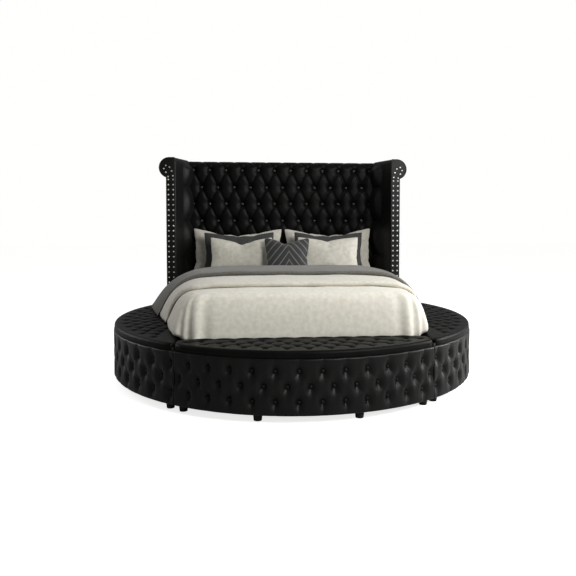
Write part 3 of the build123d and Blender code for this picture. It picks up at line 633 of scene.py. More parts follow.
def round_corners(grid, reach, rounds):
    """Rounds a plan grid's corners by easing the points near them towards their neighbours."""
    corners = ((0, 0), (0, -1), (-1, 0), (-1, -1))
    away = np.min([np.linalg.norm(grid - grid[corner], axis=-1) for corner in corners], axis=0)
    ease = 0.9 * (1 - smooth_step(away, 0.4 * reach, reach))[..., None]
    for _ in range(rounds):
        eased = grid.copy()
        eased[1:-1, 1:-1] = (grid[:-2, 1:-1] + grid[2:, 1:-1] + grid[1:-1, :-2] + grid[1:-1, 2:]) / 4
        for end in (0, -1):
            eased[1:-1, end] = (grid[:-2, end] + grid[2:, end]) / 2
            eased[end, 1:-1] = (grid[end, :-2] + grid[end, 2:]) / 2
        for r, c in corners:
            beside_r, beside_c = (1 if r == 0 else -2), (1 if c == 0 else -2)
            eased[r, c] = (grid[beside_r, c] + grid[r, beside_c]) / 2
        grid = grid + ease * (eased - grid)
    return grid


def border_distances(flat, rim):
    """Distance of each plan point to the nearest point of the rim."""
    tree = kdtree.KDTree(len(rim))
    for i, index in enumerate(rim):
        tree.insert((*flat[index], 0), i)
    tree.balance()
    return np.array([tree.find((x, y, 0))[2] for x, y in flat])


def lid_folds(tufts):
    """Folds of a lid between neighbouring tufts, and from the outermost tufts out to the rim."""
    folds = []
    for outer_row, inner_row in zip(tufts, tufts[1:]):
        for half_a, ax, ay in outer_row:
            for half_b, bx, by in inner_row:
                if abs(half_a - half_b) == 1:
                    folds.append(((ax, ay, 1.0), (bx, by, 1.0)))
    for _, x, y in tufts[0]:
        share = (RING_RADIUS - LID_FOLD_END) / math.hypot(x, y)
        folds.append(((x, y, 0.8), (x * share, y * share, 0.0)))
    return folds


def lipped(height, flat, sink):
    """The foot lid's height with the scalloped lip along its inner edge."""
    inner_away = FOOT_LID[1].y - flat[:, 1]
    close = np.clip((LIP_ROUND - inner_away) / LIP_ROUND, 0, 1)
    swell = LIP_RISE * (0.2 + 0.8 * np.abs(np.cos(math.pi * flat[:, 0] / LIP_PITCH)) ** 0.8)
    lip = swell * np.exp(-(((inner_away - LIP_WIDTH) / LIP_WIDTH) ** 2))
    lip = lip - LIP_ROUND * (1 - np.sqrt(1 - close ** 2))
    middle = 1 - smooth_step(np.abs(flat[:, 0]), FOOT_LID[1].x - 0.12, FOOT_LID[1].x - 0.05)
    share = middle * (1 - smooth_step(inner_away, LID_EDGE_ROUND, 2 * LID_EDGE_ROUND))
    return height + share * (LID_TOP_Z + lip - sink - height)


def lid(bench):
    """A lid's tufted cushion: rounded edge, plain border and rows of tufts, wrapped under its board."""
    sign = SIDES.get(bench, 1)
    grid = round_corners(lid_grid(bench), LID_CORNER, 60)
    index = point_grid(*grid.shape[:2])
    rim = np.concatenate([index[0], index[1:, -1], index[-1, -2::-1], index[-2:0:-1, 0]])
    flat = grid.reshape(-1, 2)
    inset = border_distances(flat, rim)
    tufts = lid_tufts(bench)
    buttons = [(x, y) for row in tufts for _, x, y in row]
    sink = tuft_sink(flat[:, 0], flat[:, 1], buttons, lid_folds(tufts), LID_TUFT)
    sink = sink * smooth_step(inset, 0.0, 0.03)
    height = LID_TOP_Z - edge_drop(inset, LID_EDGE_ROUND) - sink
    if bench == "foot":
        height = lipped(height, flat, sink)
    border = flat[rim]
    normals = np.roll(border, -1, axis=0) - np.roll(border, 1, axis=0)
    normals = unit_rows(np.column_stack([-normals[:, 1], normals[:, 0]]))
    if np.sum((border.mean(axis=0) - border) * normals) < 0:
        normals = -normals
    points = [np.column_stack([sign * flat[:, 0], flat[:, 1], height])]
    for step, rise in LID_SKIRT:
        ring = border + normals * step
        points.append(np.column_stack([sign * ring[:, 0], ring[:, 1], np.full(len(rim), LID_BASE_Z + rise)]))
    loops = np.vstack([rim, point_grid(len(LID_SKIRT), len(rim), index.size)])
    faces = quads_of(index).reshape(-1, 4).tolist() + wrapped_faces(loops) + [loops[-1].tolist()]
    body = f"{bench}_lid"
    cushion = mesh_piece(
        f"{bench}_lid_velvet", np.concatenate(points), faces, LID_VELVET, body,
        [f"{bench}_lid_cushion"],
    )
    places = [((sign * x, y, LID_TOP_Z - LID_TUFT["pit"]), (0, 0, 1)) for x, y in buttons]
    dome_cloud(
        f"{bench}_lid_tuft_buttons", places, LID_BUTTON_RADIUS, LID_BUTTON_HEIGHT, DARK_BUTTONS, body,
        [],
    )


for bench in BENCHES:
    bench_wall(bench)
    lid(bench)


# Headboard
def headboard():
    """Tufted front of the headboard, carried over its rolled top."""
    front_y, foot_z = PADDING[0].y, PADDING[0].z
    roll_z = BED_TOP_Z - FRONT_ROLL
    back_y = RING_RADIUS - BACK_ROLL
    board_y = front_y + HEADBOARD_PAD
    profile = [(front_y, z) for z in np.linspace(foot_z, roll_z, int((roll_z - foot_z) / GRID_STEP))]
    for a in np.radians(np.linspace(0, 90, 26))[1:]:
        profile.append((front_y + FRONT_ROLL - FRONT_ROLL * math.cos(a), roll_z + FRONT_ROLL * math.sin(a)))
    profile += [(y, BED_TOP_Z) for y in np.linspace(front_y + FRONT_ROLL, back_y, 7)[1:]]
    tufted = len(profile)
    profile += [
        (back_y + 0.001, BED_TOP_Z - 0.030), (board_y + 0.046, 1.602), (board_y, 1.599), (board_y, foot_z),
    ]
    profile = np.array(profile)
    path = path_lengths(profile[:tufted])
    tangent = unit_rows(np.gradient(profile[:tufted], axis=0))
    normal = np.column_stack([-tangent[:, 1], tangent[:, 0]])
    half = PADDING_HALF_WIDTH
    across = edged_stations(2 * half) - half
    first_s = HEADBOARD_FIRST_ROW_Z - foot_z
    rows = []
    for row in range(-1, HEADBOARD_ROWS):
        count = HEADBOARD_COLUMNS + 1 if row < 0 else HEADBOARD_COLUMNS - row % 2
        s = first_s - row * HEADBOARD_ROW
        places = [((c - (count - 1) / 2) * HEADBOARD_PITCH, s) for c in range(count)]
        rows.append([(x, s) for x, s in places if abs(x) < half - 0.02])
    buttons, folds = tuft_rows(rows)
    folds += [((x, s, 4.0), (x, path[-1], 2.4)) for x, s in rows[0]]
    u, v = np.meshgrid(across, path, indexing="ij")
    sink = tuft_sink(u, v, buttons, folds, HEADBOARD_TUFT)
    loops = np.zeros((len(across), len(profile), 3))
    loops[:, :, 0] = across[:, None]
    loops[:, :, 1:] = profile
    loops[:, :tufted, 1:] -= sink[..., None] * normal
    # The headboard's velvet is darkened with painted shade.
    velvet_tube("headboard_velvet", loops, "headboard_padding", HEADBOARD_SHADED_VELVET)
    places = []
    for x, s in buttons:
        i = int(np.argmin(abs(path - s)))
        out = np.array((0, *normal[i]))
        places.append((np.array((x, *profile[i])) - out * HEADBOARD_BUTTON_DEPTH, out))
    # The buttons are lighter velvet, a painted highlight.
    dome_cloud(
        "headboard_tuft_buttons", places, HEADBOARD_BUTTON_RADIUS, HEADBOARD_BUTTON_HEIGHT, HIGHLIGHTED_BUTTON_VELVET,
        "frame", ["headboard_buttons"],
    )


def headboard_back_roll():
    """The roll along the back of the headboard, from wing to wing, with a flat disc at each end."""
    centre_y = RING_RADIUS - BACK_ROLL
    board_y = PADDING[0].y + HEADBOARD_PAD + 0.0455
    start = math.acos(max(-1.0, (board_y - centre_y) / BACK_ROLL))
    turns = np.linspace(-start, start, 40)
    half = PADDING[1].x
    across = edged_stations(2 * half, 0.02) - half
    shrink = edge_drop(np.minimum(across + half, half - across), ROLL_END_ROUND)
    off_pleat = np.abs((across / HEADBOARD_PITCH + 0.5) % 1 - 0.5) * HEADBOARD_PITCH
    pleat = ROLL_PLEAT * np.exp(-((off_pleat / ROLL_PLEAT_WIDTH) ** 1.2))
    loops = np.zeros((len(across), len(turns), 3))
    for i, x in enumerate(across):
        radius = BACK_ROLL - shrink[i] - pleat[i] * np.clip(np.cos(turns - 0.9), 0, 1)
        loops[i, :, 0] = x
        loops[i, :, 1] = np.maximum(centre_y + radius * np.cos(turns), board_y)
        loops[i, :, 2] = SCROLL_CENTRE_Z + radius * np.sin(turns)
    velvet_tube("headboard_back_roll", loops, "headboard_padding")


headboard()
headboard_back_roll()


# Wings
def scroll_arc(inset, end_inset, count):
    """The right wing's scroll, drawn in by an inset, from its top round to the outer side."""
    radius = BACK_ROLL - inset
    end_turn = -math.acos((WING_OUTER_X - end_inset - SCROLL_CENTRE_X) / (BACK_ROLL - end_inset))
    turns = np.linspace(math.pi / 2, end_turn, count)
    return [(SCROLL_CENTRE_X + radius * math.cos(a), SCROLL_CENTRE_Z + radius * math.sin(a)) for a in turns]


def wing_outline(inner_x, inset, arc_points=30):
    """Front outline of the right wing with its scroll, drawn in by an inset, from inner to outer foot."""
    low, high = WALL_FOOT_Z + inset, BED_TOP_Z - inset
    arc = scroll_arc(inset, inset, arc_points)
    return [(inner_x, low), (inner_x, high), *arc, (WING_OUTER_X - inset, low)]


def settled(points):
    """Wing points with the tops lowered towards the front."""
    points = np.array(points)
    forward = np.clip((WING_BACK_Y - points[..., 1]) / (WING_BACK_Y - WING_FRONT_Y), 0, 1)
    points[..., 2] -= WING_SETTLE * forward * smooth_step(points[..., 2], 1.3, 1.65)
    return points


def wing(side):
    """A wing's velvet: smooth front strip, tufted bulges towards the headboard, and the scroll on top."""
    sign = SIDES[side]
    front_inner = WING_OUTER_X - WING_BAND_WIDTH
    headboard_y = PADDING[0].y
    depth = edged_stations(WING_BACK_Y - WING_FRONT_Y) + WING_FRONT_Y
    face_top = BED_TOP_Z - WING_TOP_ROUND
    face_z = np.concatenate([np.linspace(WALL_FOOT_Z, 0.6, 8)[:-1], np.arange(0.6, face_top, GRID_STEP)])
    wave_place = (face_z - (HEADBOARD_FIRST_ROW_Z - HEADBOARD_ROW)) / (2 * HEADBOARD_ROW)
    swell = np.abs(np.sin(math.pi * wave_place)) ** 0.75 * smooth_step(face_z, 0.45, 0.62)
    swell = swell * (1 - smooth_step(face_z, BED_TOP_Z - 0.10, face_top))
    loops = []
    for y in depth:
        back_share = min((y - WING_FRONT_Y) / (headboard_y - WING_FRONT_Y), 1)
        inner = front_inner + (WING_BACK_INNER_X - front_inner) * back_share
        inset = float(edge_drop(min(y - WING_FRONT_Y, WING_BACK_Y - y), WING_EDGE_ROUND))
        rise = float(smooth_step(y, WING_TUFT_Y - 0.012, WING_TUFT_Y + 0.085))
        rise *= float(1 - smooth_step(y, headboard_y + 0.02, headboard_y + HEADBOARD_PAD))
        loop = list(zip(inner + inset - WING_BULGE * rise * swell, face_z))
        round_x, round_z = inner + inset + WING_TOP_ROUND, face_top - inset
        for a in np.radians(np.linspace(0, 90, 8)):
            loop.append((round_x - WING_TOP_ROUND * math.cos(a), round_z + WING_TOP_ROUND * math.sin(a)))
        loop += scroll_arc(inset, 0.0, 34)
        loop += [(WING_OUTER_X - inset, z) for z in np.linspace(SCROLL_CENTRE_Z - 0.12, WALL_FOOT_Z, 12)]
        loops.append([(sign * a, y, z) for a, z in loop])
    velvet_tube(f"{side}_wing_velvet", settled(loops), f"{side}_wing_cover")


def round_tube(name, path, radius, material, sides=8):
    """A closed tube of piping along a loop of points in a plane of constant Y."""
    out = np.cross(unit_rows(np.roll(path, -1, axis=0) - np.roll(path, 1, axis=0)), (0, 1.0, 0))
    turns = np.linspace(0, 2 * math.pi, sides, endpoint=False)
    rings = path[:, None, :] + radius * (
        np.cos(turns)[None, :, None] * out[:, None, :] + np.sin(turns)[None, :, None] * np.array((0, 1.0, 0))
    )
    index = point_grid(len(path), sides)
    faces = wrapped_faces(np.vstack([index, index[:1]]))
    return mesh_piece(name, rings.reshape(-1, 3), faces, material, "frame")


def even_loop(corners, step):
    """Points at even steps round a closed outline of plan corners."""
    corners = np.array(corners + [corners[0]])
    lengths = path_lengths(corners)
    places = np.arange(0, lengths[-1], step)
    return np.column_stack([np.interp(places, lengths, corners[:, i]) for i in range(2)])


def wing_band(side):
    """The flat front band of a wing: a padded panel with piping round it."""
    sign = SIDES[side]
    front_y, back_y = BAND[0].y, BAND[1].y
    inner = WING_OUTER_X - WING_BAND_WIDTH + BAND_INSET
    loops = []
    for inset, y in [(BAND_INSET, back_y), *((inset, front_y + deep) for inset, deep in BAND_EDGE)]:
        loops.append([(sign * x, y, z) for x, z in wing_outline(inner + inset - BAND_INSET, inset)])
    velvet_tube(f"{side}_wing_front_band", settled(loops), f"{side}_wing_band")
    outline = even_loop(wing_outline(inner, 0.0045, 40), 0.008)
    path = settled([(sign * x, front_y + 0.003, z) for x, z in outline])
    round_tube(f"{side}_wing_piping", path, PIPING_RADIUS, PIPING)


def nail_places():
    """Nail heads on the right wing's band, from the foot up and round inside the scroll."""
    heights = [NAIL_FIRST_Z + row * NAIL_PITCH for row in range(NAIL_COUNT)]
    places = [(WING_OUTER_X - column, z) for column in NAIL_COLUMNS for z in heights]
    places += [(SCROLL_CENTRE_X + a * BACK_ROLL, SCROLL_CENTRE_Z + b * BACK_ROLL) for a, b in SCROLL_NAILS]
    return places


for side in SIDES:
    wing(side)
    wing_band(side)
nails = settled([(sign * x, BAND[0].y, z) for sign in SIDES.values() for x, z in nail_places()])
dome_cloud(
    "wing_nail_heads", [(place, (0, -1, 0)) for place in nails], NAIL_RADIUS, NAIL_HEIGHT, CHROME, "frame",
    ["wing_nails"],
)


# Bedding
BED_EDGE_X = 0.700
FOOT_TURN_Y = -0.869
FOOT_HANG_Y = -0.952
FOOT_CORNER = 0.040
CORNER_HEM_X = 0.838
CORNER_HEM_DRAW = (0.105, 0.025)
FOOT_HEM_X = 0.708
CENTRE_TURN_Y = -0.62
LID_REST = 0.0012
HEM_THICKNESS = 0.012
CROWN = 0.014
CORNER_ROWS = 15
SKIRT_POINTS = 34
# Loose waves on the bed and folds of the hanging sides
BED_WAVE = 0.0022
BED_WAVE_SIZE = 0.42
SIDE_FOLD = 0.009
SIDE_FOLD_SIZE = 0.34
# Grooves along the folded foot ends, which spread towards the hem
GROOVE_STEP = 0.015
GROOVE_SPREAD = 0.040
GROOVE_DEPTH = 0.009
GROOVE_WIDTH = 0.007
# Corners of the curves that hanging sides follow, outwards and down
SIDE_SKIRT = np.array(((0, 0), (0.56, 0.07), (0.78, 0.45), (1, 1)))
FOOT_SKIRT = np.array(((0, 0), (0.68, 0.0), (0.90, 0.16), (1, 1)))
# Vertical folds of the duvet's foot corners: place and width in rows, and height
DUVET_FOLDS = ((1.0, 2.2, -0.022), (6.0, 2.2, -0.026), (10.0, 2.4, 0.010), (14.5, 2.6, -0.014))
LAYERS = {
    "duvet": {
        "material": IVORY, "slot": "ivory_bedding", "thickness": 0.036, "seed": 1.0,
        "tops": (-0.81, 0.52), "hem_ys": (-0.87, 1.70), "last_drape_y": -0.53,
        "hem_xs": ((-0.90, 0.820), (-0.86, 0.838), (-0.69, 0.885), (-0.56, 0.912), (-0.40, 0.936)),
    },
    "coverlet": {
        "material": COVERLET, "slot": "ivory_bedding", "thickness": 0.036, "seed": 2.0,
        "tops": (-0.57, 0.53), "hem_ys": (-0.40, 0.42), "last_drape_y": -0.060,
        "hem_xs": ((-0.41, 0.946), (-0.26, 0.992), (-0.06, 1.040)),
    },
    "blanket": {
        "material": GREY, "slot": "grey_blanket", "thickness": 0.030, "seed": 3.0,
        "tops": (-0.10, 0.54), "hem_ys": (-0.085, 0.545), "last_drape_y": 0.60,
        "hem_xs": ((-0.09, 1.052), (0.0, 1.078), (0.24, 1.140), (0.42, 1.182), (0.55, 1.166)),
    },
}


def shell_piece(name, outer, inner, faces, material, seam):
    """A cloth piece with an outside and an inside, closed at its rims, with a hard edge along the seam."""
    edges = np.concatenate([faces[:, [i, (i + 1) % 4]] for i in range(4)])
    _, first, counts = np.unique(np.sort(edges, axis=1), axis=0, return_index=True, return_counts=True)
    rim = edges[first[counts == 1]]
    count = len(outer)
    ends = np.column_stack([rim[:, 1], rim[:, 0], rim[:, 0] + count, rim[:, 1] + count])
    ends[np.isin(rim, seam).all(axis=1)] += 2 * count
    quads = np.concatenate([faces, faces[:, ::-1] + count, ends])
    used, quads = np.unique(quads, return_inverse=True)
    points = np.concatenate([outer, inner, outer, inner])[used]
    return mesh_piece(name, points, quads.reshape(-1, 4), material, None)


def grid_normals(grid):
    """Unit normals of a grid of points, upwards on the bed."""
    normals = np.cross(np.gradient(grid, axis=0), np.gradient(grid, axis=1))
    normals /= np.maximum(np.linalg.norm(normals, axis=-1), 1e-12)[..., None]
    return -normals if normals[len(grid) // 4, 2, 2] < 0 else normals


def skirt_profile(corners):
    """Shares of the way out and down along a hanging side, from the bed's edge to the hem."""
    r = np.concatenate([[0, 0.006, 0.016, 0.03], np.linspace(0.05, 1, SKIRT_POINTS - 4)])[1:, None]
    return sum(math.comb(3, i) * (1 - r) ** (3 - i) * r ** i * corners[i] for i in range(4))


def crown_rise(x):
    """How far the bedding's middle stands above its edge on the bed."""
    return CROWN * (1 - np.abs(x / BED_EDGE_X) ** 6)


def foot_lines(top_z, rest_z, top_first, hem_first):
    """The duvet's rows round the foot corner and across the foot: where they leave the bed and end."""
    foot_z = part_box("duvet")[0].z
    starts, ends = [], []
    for t in np.linspace(0, 1, CORNER_ROWS + 1)[1:]:
        out, along = 1 - math.cos(t * math.pi / 2), math.sin(t * math.pi / 2)
        starts.append((BED_EDGE_X - FOOT_CORNER * out, top_first + (FOOT_TURN_Y - top_first) * along, top_z))
        hem_z = rest_z + (foot_z - rest_z) * smooth_step(t, 0.25, 0.9)
        hem_x = CORNER_HEM_X - CORNER_HEM_DRAW[0] * out - CORNER_HEM_DRAW[1] * t
        ends.append((hem_x, hem_first + (FOOT_HANG_Y - hem_first) * along, hem_z))
    for x in np.linspace(BED_EDGE_X - FOOT_CORNER, 0, 58)[1:]:
        starts.append((x, FOOT_TURN_Y, top_z))
        ends.append((x * FOOT_HEM_X / (BED_EDGE_X - FOOT_CORNER), FOOT_HANG_Y, foot_z))
    return starts, ends


def bedding_half(name):
    """Right half of one layer: rows of points from the head to the foot, flat columns and stations."""
    layer = LAYERS[name]
    top_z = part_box(name)[1].z
    rest_z = LID_TOP_Z + LID_REST + HEM_THICKNESS
    top_first, top_last = layer["tops"]
    hem_first, hem_last = layer["hem_ys"]
    hem_ys, hem_xs = zip(*layer["hem_xs"])
    stations = edged_stations(top_last - top_first, 0.012)[::-1] + top_first
    count = len(stations)
    hem_y = hem_first + (hem_last - hem_first) * (stations - top_first) / (top_last - top_first)
    starts = [(BED_EDGE_X, y, top_z) for y in stations]
    ends = [(np.interp(h, hem_ys, hem_xs), h, rest_z) for h in hem_y]
    centre_ys = stations
    facing = np.zeros(count)
    if name == "duvet":
        foot_starts, foot_ends = foot_lines(top_z, rest_z, top_first, hem_first)
        starts += foot_starts
        ends += foot_ends
        eased = smooth_step(-stations, 0.0, -top_first)
        centre_ys = stations + (np.linspace(top_last, CENTRE_TURN_Y, count) - stations) * eased
        fan = np.linspace(0, 1, len(foot_starts) + 8)[8:]
        centre_ys = np.concatenate([centre_ys, CENTRE_TURN_Y + (FOOT_TURN_Y - CENTRE_TURN_Y) * fan])
        facing = smooth_step(np.arange(len(starts)), count - 3, count + 12)
    starts, ends = np.array(starts), np.array(ends)
    centres = np.column_stack([np.zeros(len(starts)), centre_ys, np.full(len(starts), top_z)])
    starts[:, 2] += crown_rise(starts[:, 0])
    flat_share = np.concatenate([np.linspace(0, 0.955, 52), [0.975, 0.988, 0.996, 1.0]])[:, None]
    flat = centres[:, None] + (starts - centres)[:, None] * flat_share
    flat[..., 2] = top_z + crown_rise(flat[..., 0])
    side, front = skirt_profile(SIDE_SKIRT), skirt_profile(FOOT_SKIRT)
    profile = side[None] + (front - side)[None] * facing[:, None, None]
    hang = starts[:, None] + np.zeros((1, len(side), 3))
    hang[..., 0] += (ends - starts)[:, None, 0] * profile[..., 0]
    hang[..., 1] += (ends - starts)[:, None, 1] * profile[..., 0] ** (1.8 - 0.8 * facing[:, None])
    hang[..., 2] += (ends - starts)[:, None, 2] * profile[..., 1]
    grid = np.concatenate([flat, hang], axis=1)
    return grid, flat_share.size, count


def edge_distances(grid, free_foot):
    """Distances along the cloth of a layer's points to its hem, its head edge and its foot edge."""
    steps = np.linalg.norm(np.diff(grid, axis=1), axis=-1)
    hem_away = np.zeros(grid.shape[:2])
    hem_away[:, :-1] = np.cumsum(steps[:, ::-1], axis=1)[:, ::-1]
    row_steps = np.linalg.norm(np.diff(grid, axis=0), axis=-1)
    head_away = np.concatenate([np.zeros((1, grid.shape[1])), np.cumsum(row_steps, axis=0)])
    foot_away = head_away[-1:] - head_away if free_foot else np.full(grid.shape[:2], 1.0)
    return hem_away, head_away, foot_away


def bedding_surfaces(name, grid, flat_columns, stations):
    """Outer and inner points of a layer, right half then left half, with its waves and folds."""
    layer = LAYERS[name]
    rows, columns = grid.shape[:2]
    hem_away, head_away, foot_away = edge_distances(grid, name != "duvet")
    normals = grid_normals(grid)
    hanging = np.clip((np.arange(columns) - flat_columns + 1) / (columns - flat_columns), 0, 1)[None, :]
    thickness = layer["thickness"] + (HEM_THICKNESS - layer["thickness"]) * smooth_step(hanging, 0.1, 1.0)
    half = thickness / 2
    sink = 0.96 * edge_drop(np.minimum(np.minimum(hem_away, head_away), foot_away), half)
    fronting = smooth_step(np.arange(rows) - stations, 4, 14)[:, None]
    outer, inner = [], []
    for sign in (1, -1):
        seed = layer["seed"] + (0.0 if sign > 0 else 0.37)
        x, y = sign * grid[..., 0], grid[..., 1]
        folds = SIDE_FOLD * hanging ** 1.2 * ripple(y + 0.15 * hanging, x * 0.2, SIDE_FOLD_SIZE, seed + 0.5)
        folds = folds * smooth_step(hem_away, 0.0, 0.05) * (1 - 0.65 * fronting)
        lift = BED_WAVE * ripple(x * 1.3, y, BED_WAVE_SIZE, layer["seed"]) * (1 - hanging) + folds
        if name == "duvet":
            turn = np.arange(rows)[:, None] - stations - 6
            for place, width, height in DUVET_FOLDS:
                lift = lift + height * hanging ** 1.2 * np.exp(-(((turn - place) / width) ** 2))
        else:
            for count in (1, 2):
                away = (foot_away - count * (GROOVE_STEP + GROOVE_SPREAD * hanging)) / GROOVE_WIDTH
                lift = lift - (GROOVE_DEPTH / count) * (0.5 + 0.5 * hanging) * np.exp(-(away ** 2))
        mirror = np.array((sign, 1, 1))
        for surface, offset in ((outer, lift - sink), (inner, lift - thickness + sink)):
            surface.append((grid + normals * offset[..., None]).reshape(-1, 3) * mirror)
    return np.concatenate(outer), np.concatenate(inner)


def bedding_layer(name):
    """One layer of bedding: the part on the bed, and on each side the part that hangs over a lid."""
    layer = LAYERS[name]
    grid, flat_columns, stations = bedding_half(name)
    outer, inner = bedding_surfaces(name, grid, flat_columns, stations)
    rows, columns = grid.shape[:2]
    index = point_grid(rows, columns)
    left_index = point_grid(rows, columns, rows * columns)
    left_index[:, 0] = index[:, 0]
    side_rows = stations - 1
    hidden = grid[:side_rows, flat_columns - 1, 1] > layer["last_drape_y"]
    seam = [index[:, flat_columns - 1], left_index[:, flat_columns - 1]]
    if name == "duvet":
        left_index[-1] = index[-1]
        side_rows += CORNER_ROWS
        seam += [index[side_rows, flat_columns:], left_index[side_rows, flat_columns:]]
    on_bed = np.ones((rows - 1, columns - 1), bool)
    on_bed[:side_rows, flat_columns - 1:] = False
    keep_drape = ~on_bed
    keep_drape[: stations - 1][hidden] = False
    quads = quads_of(index)
    left_quads = quads_of(left_index)[..., [0, 3, 2, 1]]
    pieces = (
        ("top", np.concatenate([quads[on_bed], left_quads[on_bed]]), name),
        ("right_side", quads[keep_drape], f"{name}_right_drape"),
        ("left_side", left_quads[keep_drape], f"{name}_left_drape"),
    )
    for part, faces, node in pieces:
        piece = shell_piece(
            f"{name}_{part}", outer, inner, faces, layer["material"], np.concatenate(seam),
        )
        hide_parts(node)
        if part == "top":
            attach(piece, "frame")
            continue
        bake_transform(piece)


for layer_name in LAYERS:
    bedding_layer(layer_name)


# Mattress and fitted sheet
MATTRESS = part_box("mattress")
SHEET_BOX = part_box("fitted_sheet")
MATTRESS_ROUND = 0.028
SHEET_ROUND = 0.030
MATTRESS_CORNER = 0.070
SHEET_CORNER = 0.072
SHEET_CLOTH = 0.0016
CORNER_POINTS = 12
# Insets of the two rings that close a flat face
FLAT_INSETS = (0.30, 0.06)
WALL_INSET = 0.05


def ringed_block(name, box, profile, corner, material):
    """A closed body of rings round a rounded rectangle; the profile gives each ring's inset and height."""
    low, high = box
    loops = []
    for inset, z in profile:
        radius = max(corner - inset, 0.002)
        x, back_y, front_y = high.x - inset - radius, high.y - inset - radius, low.y + inset + radius
        centres = ((x, back_y), (-x, back_y), (-x, front_y), (x, front_y))
        loops.append([
            (cx + radius * math.cos(turn), cy + radius * math.sin(turn), z)
            for i, (cx, cy) in enumerate(centres)
            for turn in np.radians(np.linspace(90 * i, 90 * i + 90, CORNER_POINTS))
        ])
    points, faces = loop_tube(loops)
    return mesh_piece(name, points, faces, material, "frame", [name])


def round_edge(radius, z, up):
    """Inset and height of rings round an edge that turns from side to flat."""
    turns = np.radians(np.linspace(0, 90, 7))
    return [(radius * (1 - math.cos(a)), z + up * radius * (math.sin(a) - 1)) for a in turns]


low_z, high_z = MATTRESS[0].z, MATTRESS[1].z
mattress_profile = [(inset, low_z) for inset in FLAT_INSETS]
mattress_profile += round_edge(MATTRESS_ROUND, low_z, -1)[::-1]
mattress_profile += [(0.0, z) for z in np.linspace(low_z + WALL_INSET, high_z - WALL_INSET, 5)]
mattress_profile += round_edge(MATTRESS_ROUND, high_z, 1)
mattress_profile += [(inset, high_z) for inset in FLAT_INSETS[::-1]]
mattress = ringed_block("mattress", MATTRESS, mattress_profile, MATTRESS_CORNER, TICKING)

low_z, high_z = SHEET_BOX[0].z, SHEET_BOX[1].z
sheet_profile = [(inset, high_z) for inset in FLAT_INSETS]
sheet_profile += round_edge(SHEET_ROUND, high_z, 1)[::-1]
sheet_profile += [(0.0, z) for z in np.linspace(high_z - WALL_INSET, low_z, 6)]
sheet_profile += [(SHEET_CLOTH, z) for z in np.linspace(low_z, high_z - WALL_INSET, 6)]
inner_edge = round_edge(SHEET_ROUND - SHEET_CLOTH, high_z, 1)
sheet_profile += [(inset + SHEET_CLOTH, z - SHEET_CLOTH) for inset, z in inner_edge]
sheet_profile += [(inset, high_z - SHEET_CLOTH) for inset in FLAT_INSETS[::-1]]
fitted = ringed_block("fitted_sheet", SHEET_BOX, sheet_profile, SHEET_CORNER, SHEET)


# Pillows
PILLOW_CELL = 0.015
PILLOW_START = 0.022
PILLOW_FRAMES = 22
PILLOW_PRESSURE = 4.0
PILLOW_WAVE = 0.0022
PILLOW_WAVE_SIZE = 0.16
PILLOW_SAG = 0.004
PILLOW_REST = 0.0015
FOOT_SQUASH = 0.03
SHEET_TOP_Z = SHEET_BOX[1].z
# Width, height and thickness; middle X and foot Y; lean in degrees; seed; kept share of the cloth's drawing
# in; depth of the dent in the top edge
SHAM = ((0.870, 0.468, 0.150), (0.445, 1.020), 9.0, 3.0, 0.50, 0.0)
DARK_PILLOW = ((0.676, 0.436, 0.125), (0.430, 0.872), 11.0, 5.0, 0.30, 0.0)
RIGHT_FRONT = ((0.585, 0.392, 0.125), (0.409, 0.736), 13.0, 7.0, 0.36, 0.012)
LEFT_FRONT = ((0.585, 0.392, 0.125), (-0.409, 0.736), 13.0, 8.0, 0.36, 0.034)
THROW = ((0.452, 0.420, 0.130), (0.013, 0.550), 27.0, 9.0, 0.62, 0.0)


def pouch(width, height, seed):
    """A flat closed case of two cloth layers that share their rim, slightly filled so it can swell."""
    columns, rows = int(width / PILLOW_CELL) + 1, int(height / PILLOW_CELL) + 1
    across, up = np.linspace(-width / 2, width / 2, columns), np.linspace(-height / 2, height / 2, rows)
    x, z = np.meshgrid(across, up)
    bulge = np.sqrt(np.clip((1 - (2 * x / width) ** 2) * (1 - (2 * z / height) ** 2), 0, 1))
    waves = PILLOW_WAVE * ripple(x, z, PILLOW_WAVE_SIZE, seed) * bulge
    front = np.stack([x, -PILLOW_START * bulge + waves, z], axis=-1)
    back = np.stack([x, PILLOW_START * bulge + waves, z], axis=-1)
    index = point_grid(rows, columns)
    inner = np.zeros((rows, columns), bool)
    inner[1:-1, 1:-1] = True
    back_index = index.copy()
    back_index[inner] = rows * columns + np.arange(inner.sum())
    faces = np.concatenate([quads_of(grid).reshape(-1, 4) for grid in (index, back_index[:, ::-1])])
    return np.concatenate([front.reshape(-1, 3), back[inner]]), faces


def swollen(piece):
    """The points of a closed cloth piece after air has been let into it."""
    cloth = piece.modifiers.new("swell", "CLOTH")
    settings = cloth.settings
    settings.quality = 6
    settings.mass = 0.3
    settings.tension_stiffness = 18
    settings.compression_stiffness = 18
    settings.shear_stiffness = 7
    settings.bending_stiffness = 0.4
    settings.use_pressure = True
    settings.uniform_pressure_force = PILLOW_PRESSURE
    settings.effector_weights.gravity = 0
    cloth.point_cache.frame_start = 1
    cloth.point_cache.frame_end = PILLOW_FRAMES
    for step in range(1, PILLOW_FRAMES + 1):
        bpy.context.scene.frame_set(step)
    shown = piece.evaluated_get(bpy.context.evaluated_depsgraph_get())
    points = np.array([v.co for v in shown.data.vertices])
    piece.modifiers.remove(cloth)
    bpy.context.scene.frame_set(1)
    return points


def pillow_points(piece, size, draw):
    """A filled pillow about its middle, in its size; draw is the kept share of the cloth's drawing in."""
    width, height, thick = size
    points = np.array([v.co for v in piece.data.vertices])
    flat = points[:, [0, 2]].copy()
    points = swollen(piece)
    points[:, [0, 2]] = draw * points[:, [0, 2]] + (1 - draw) * flat
    low, high = points.min(axis=0), points.max(axis=0)
    return (points - (high + low) / 2) * np.array((width, thick, height)) / (high - low)


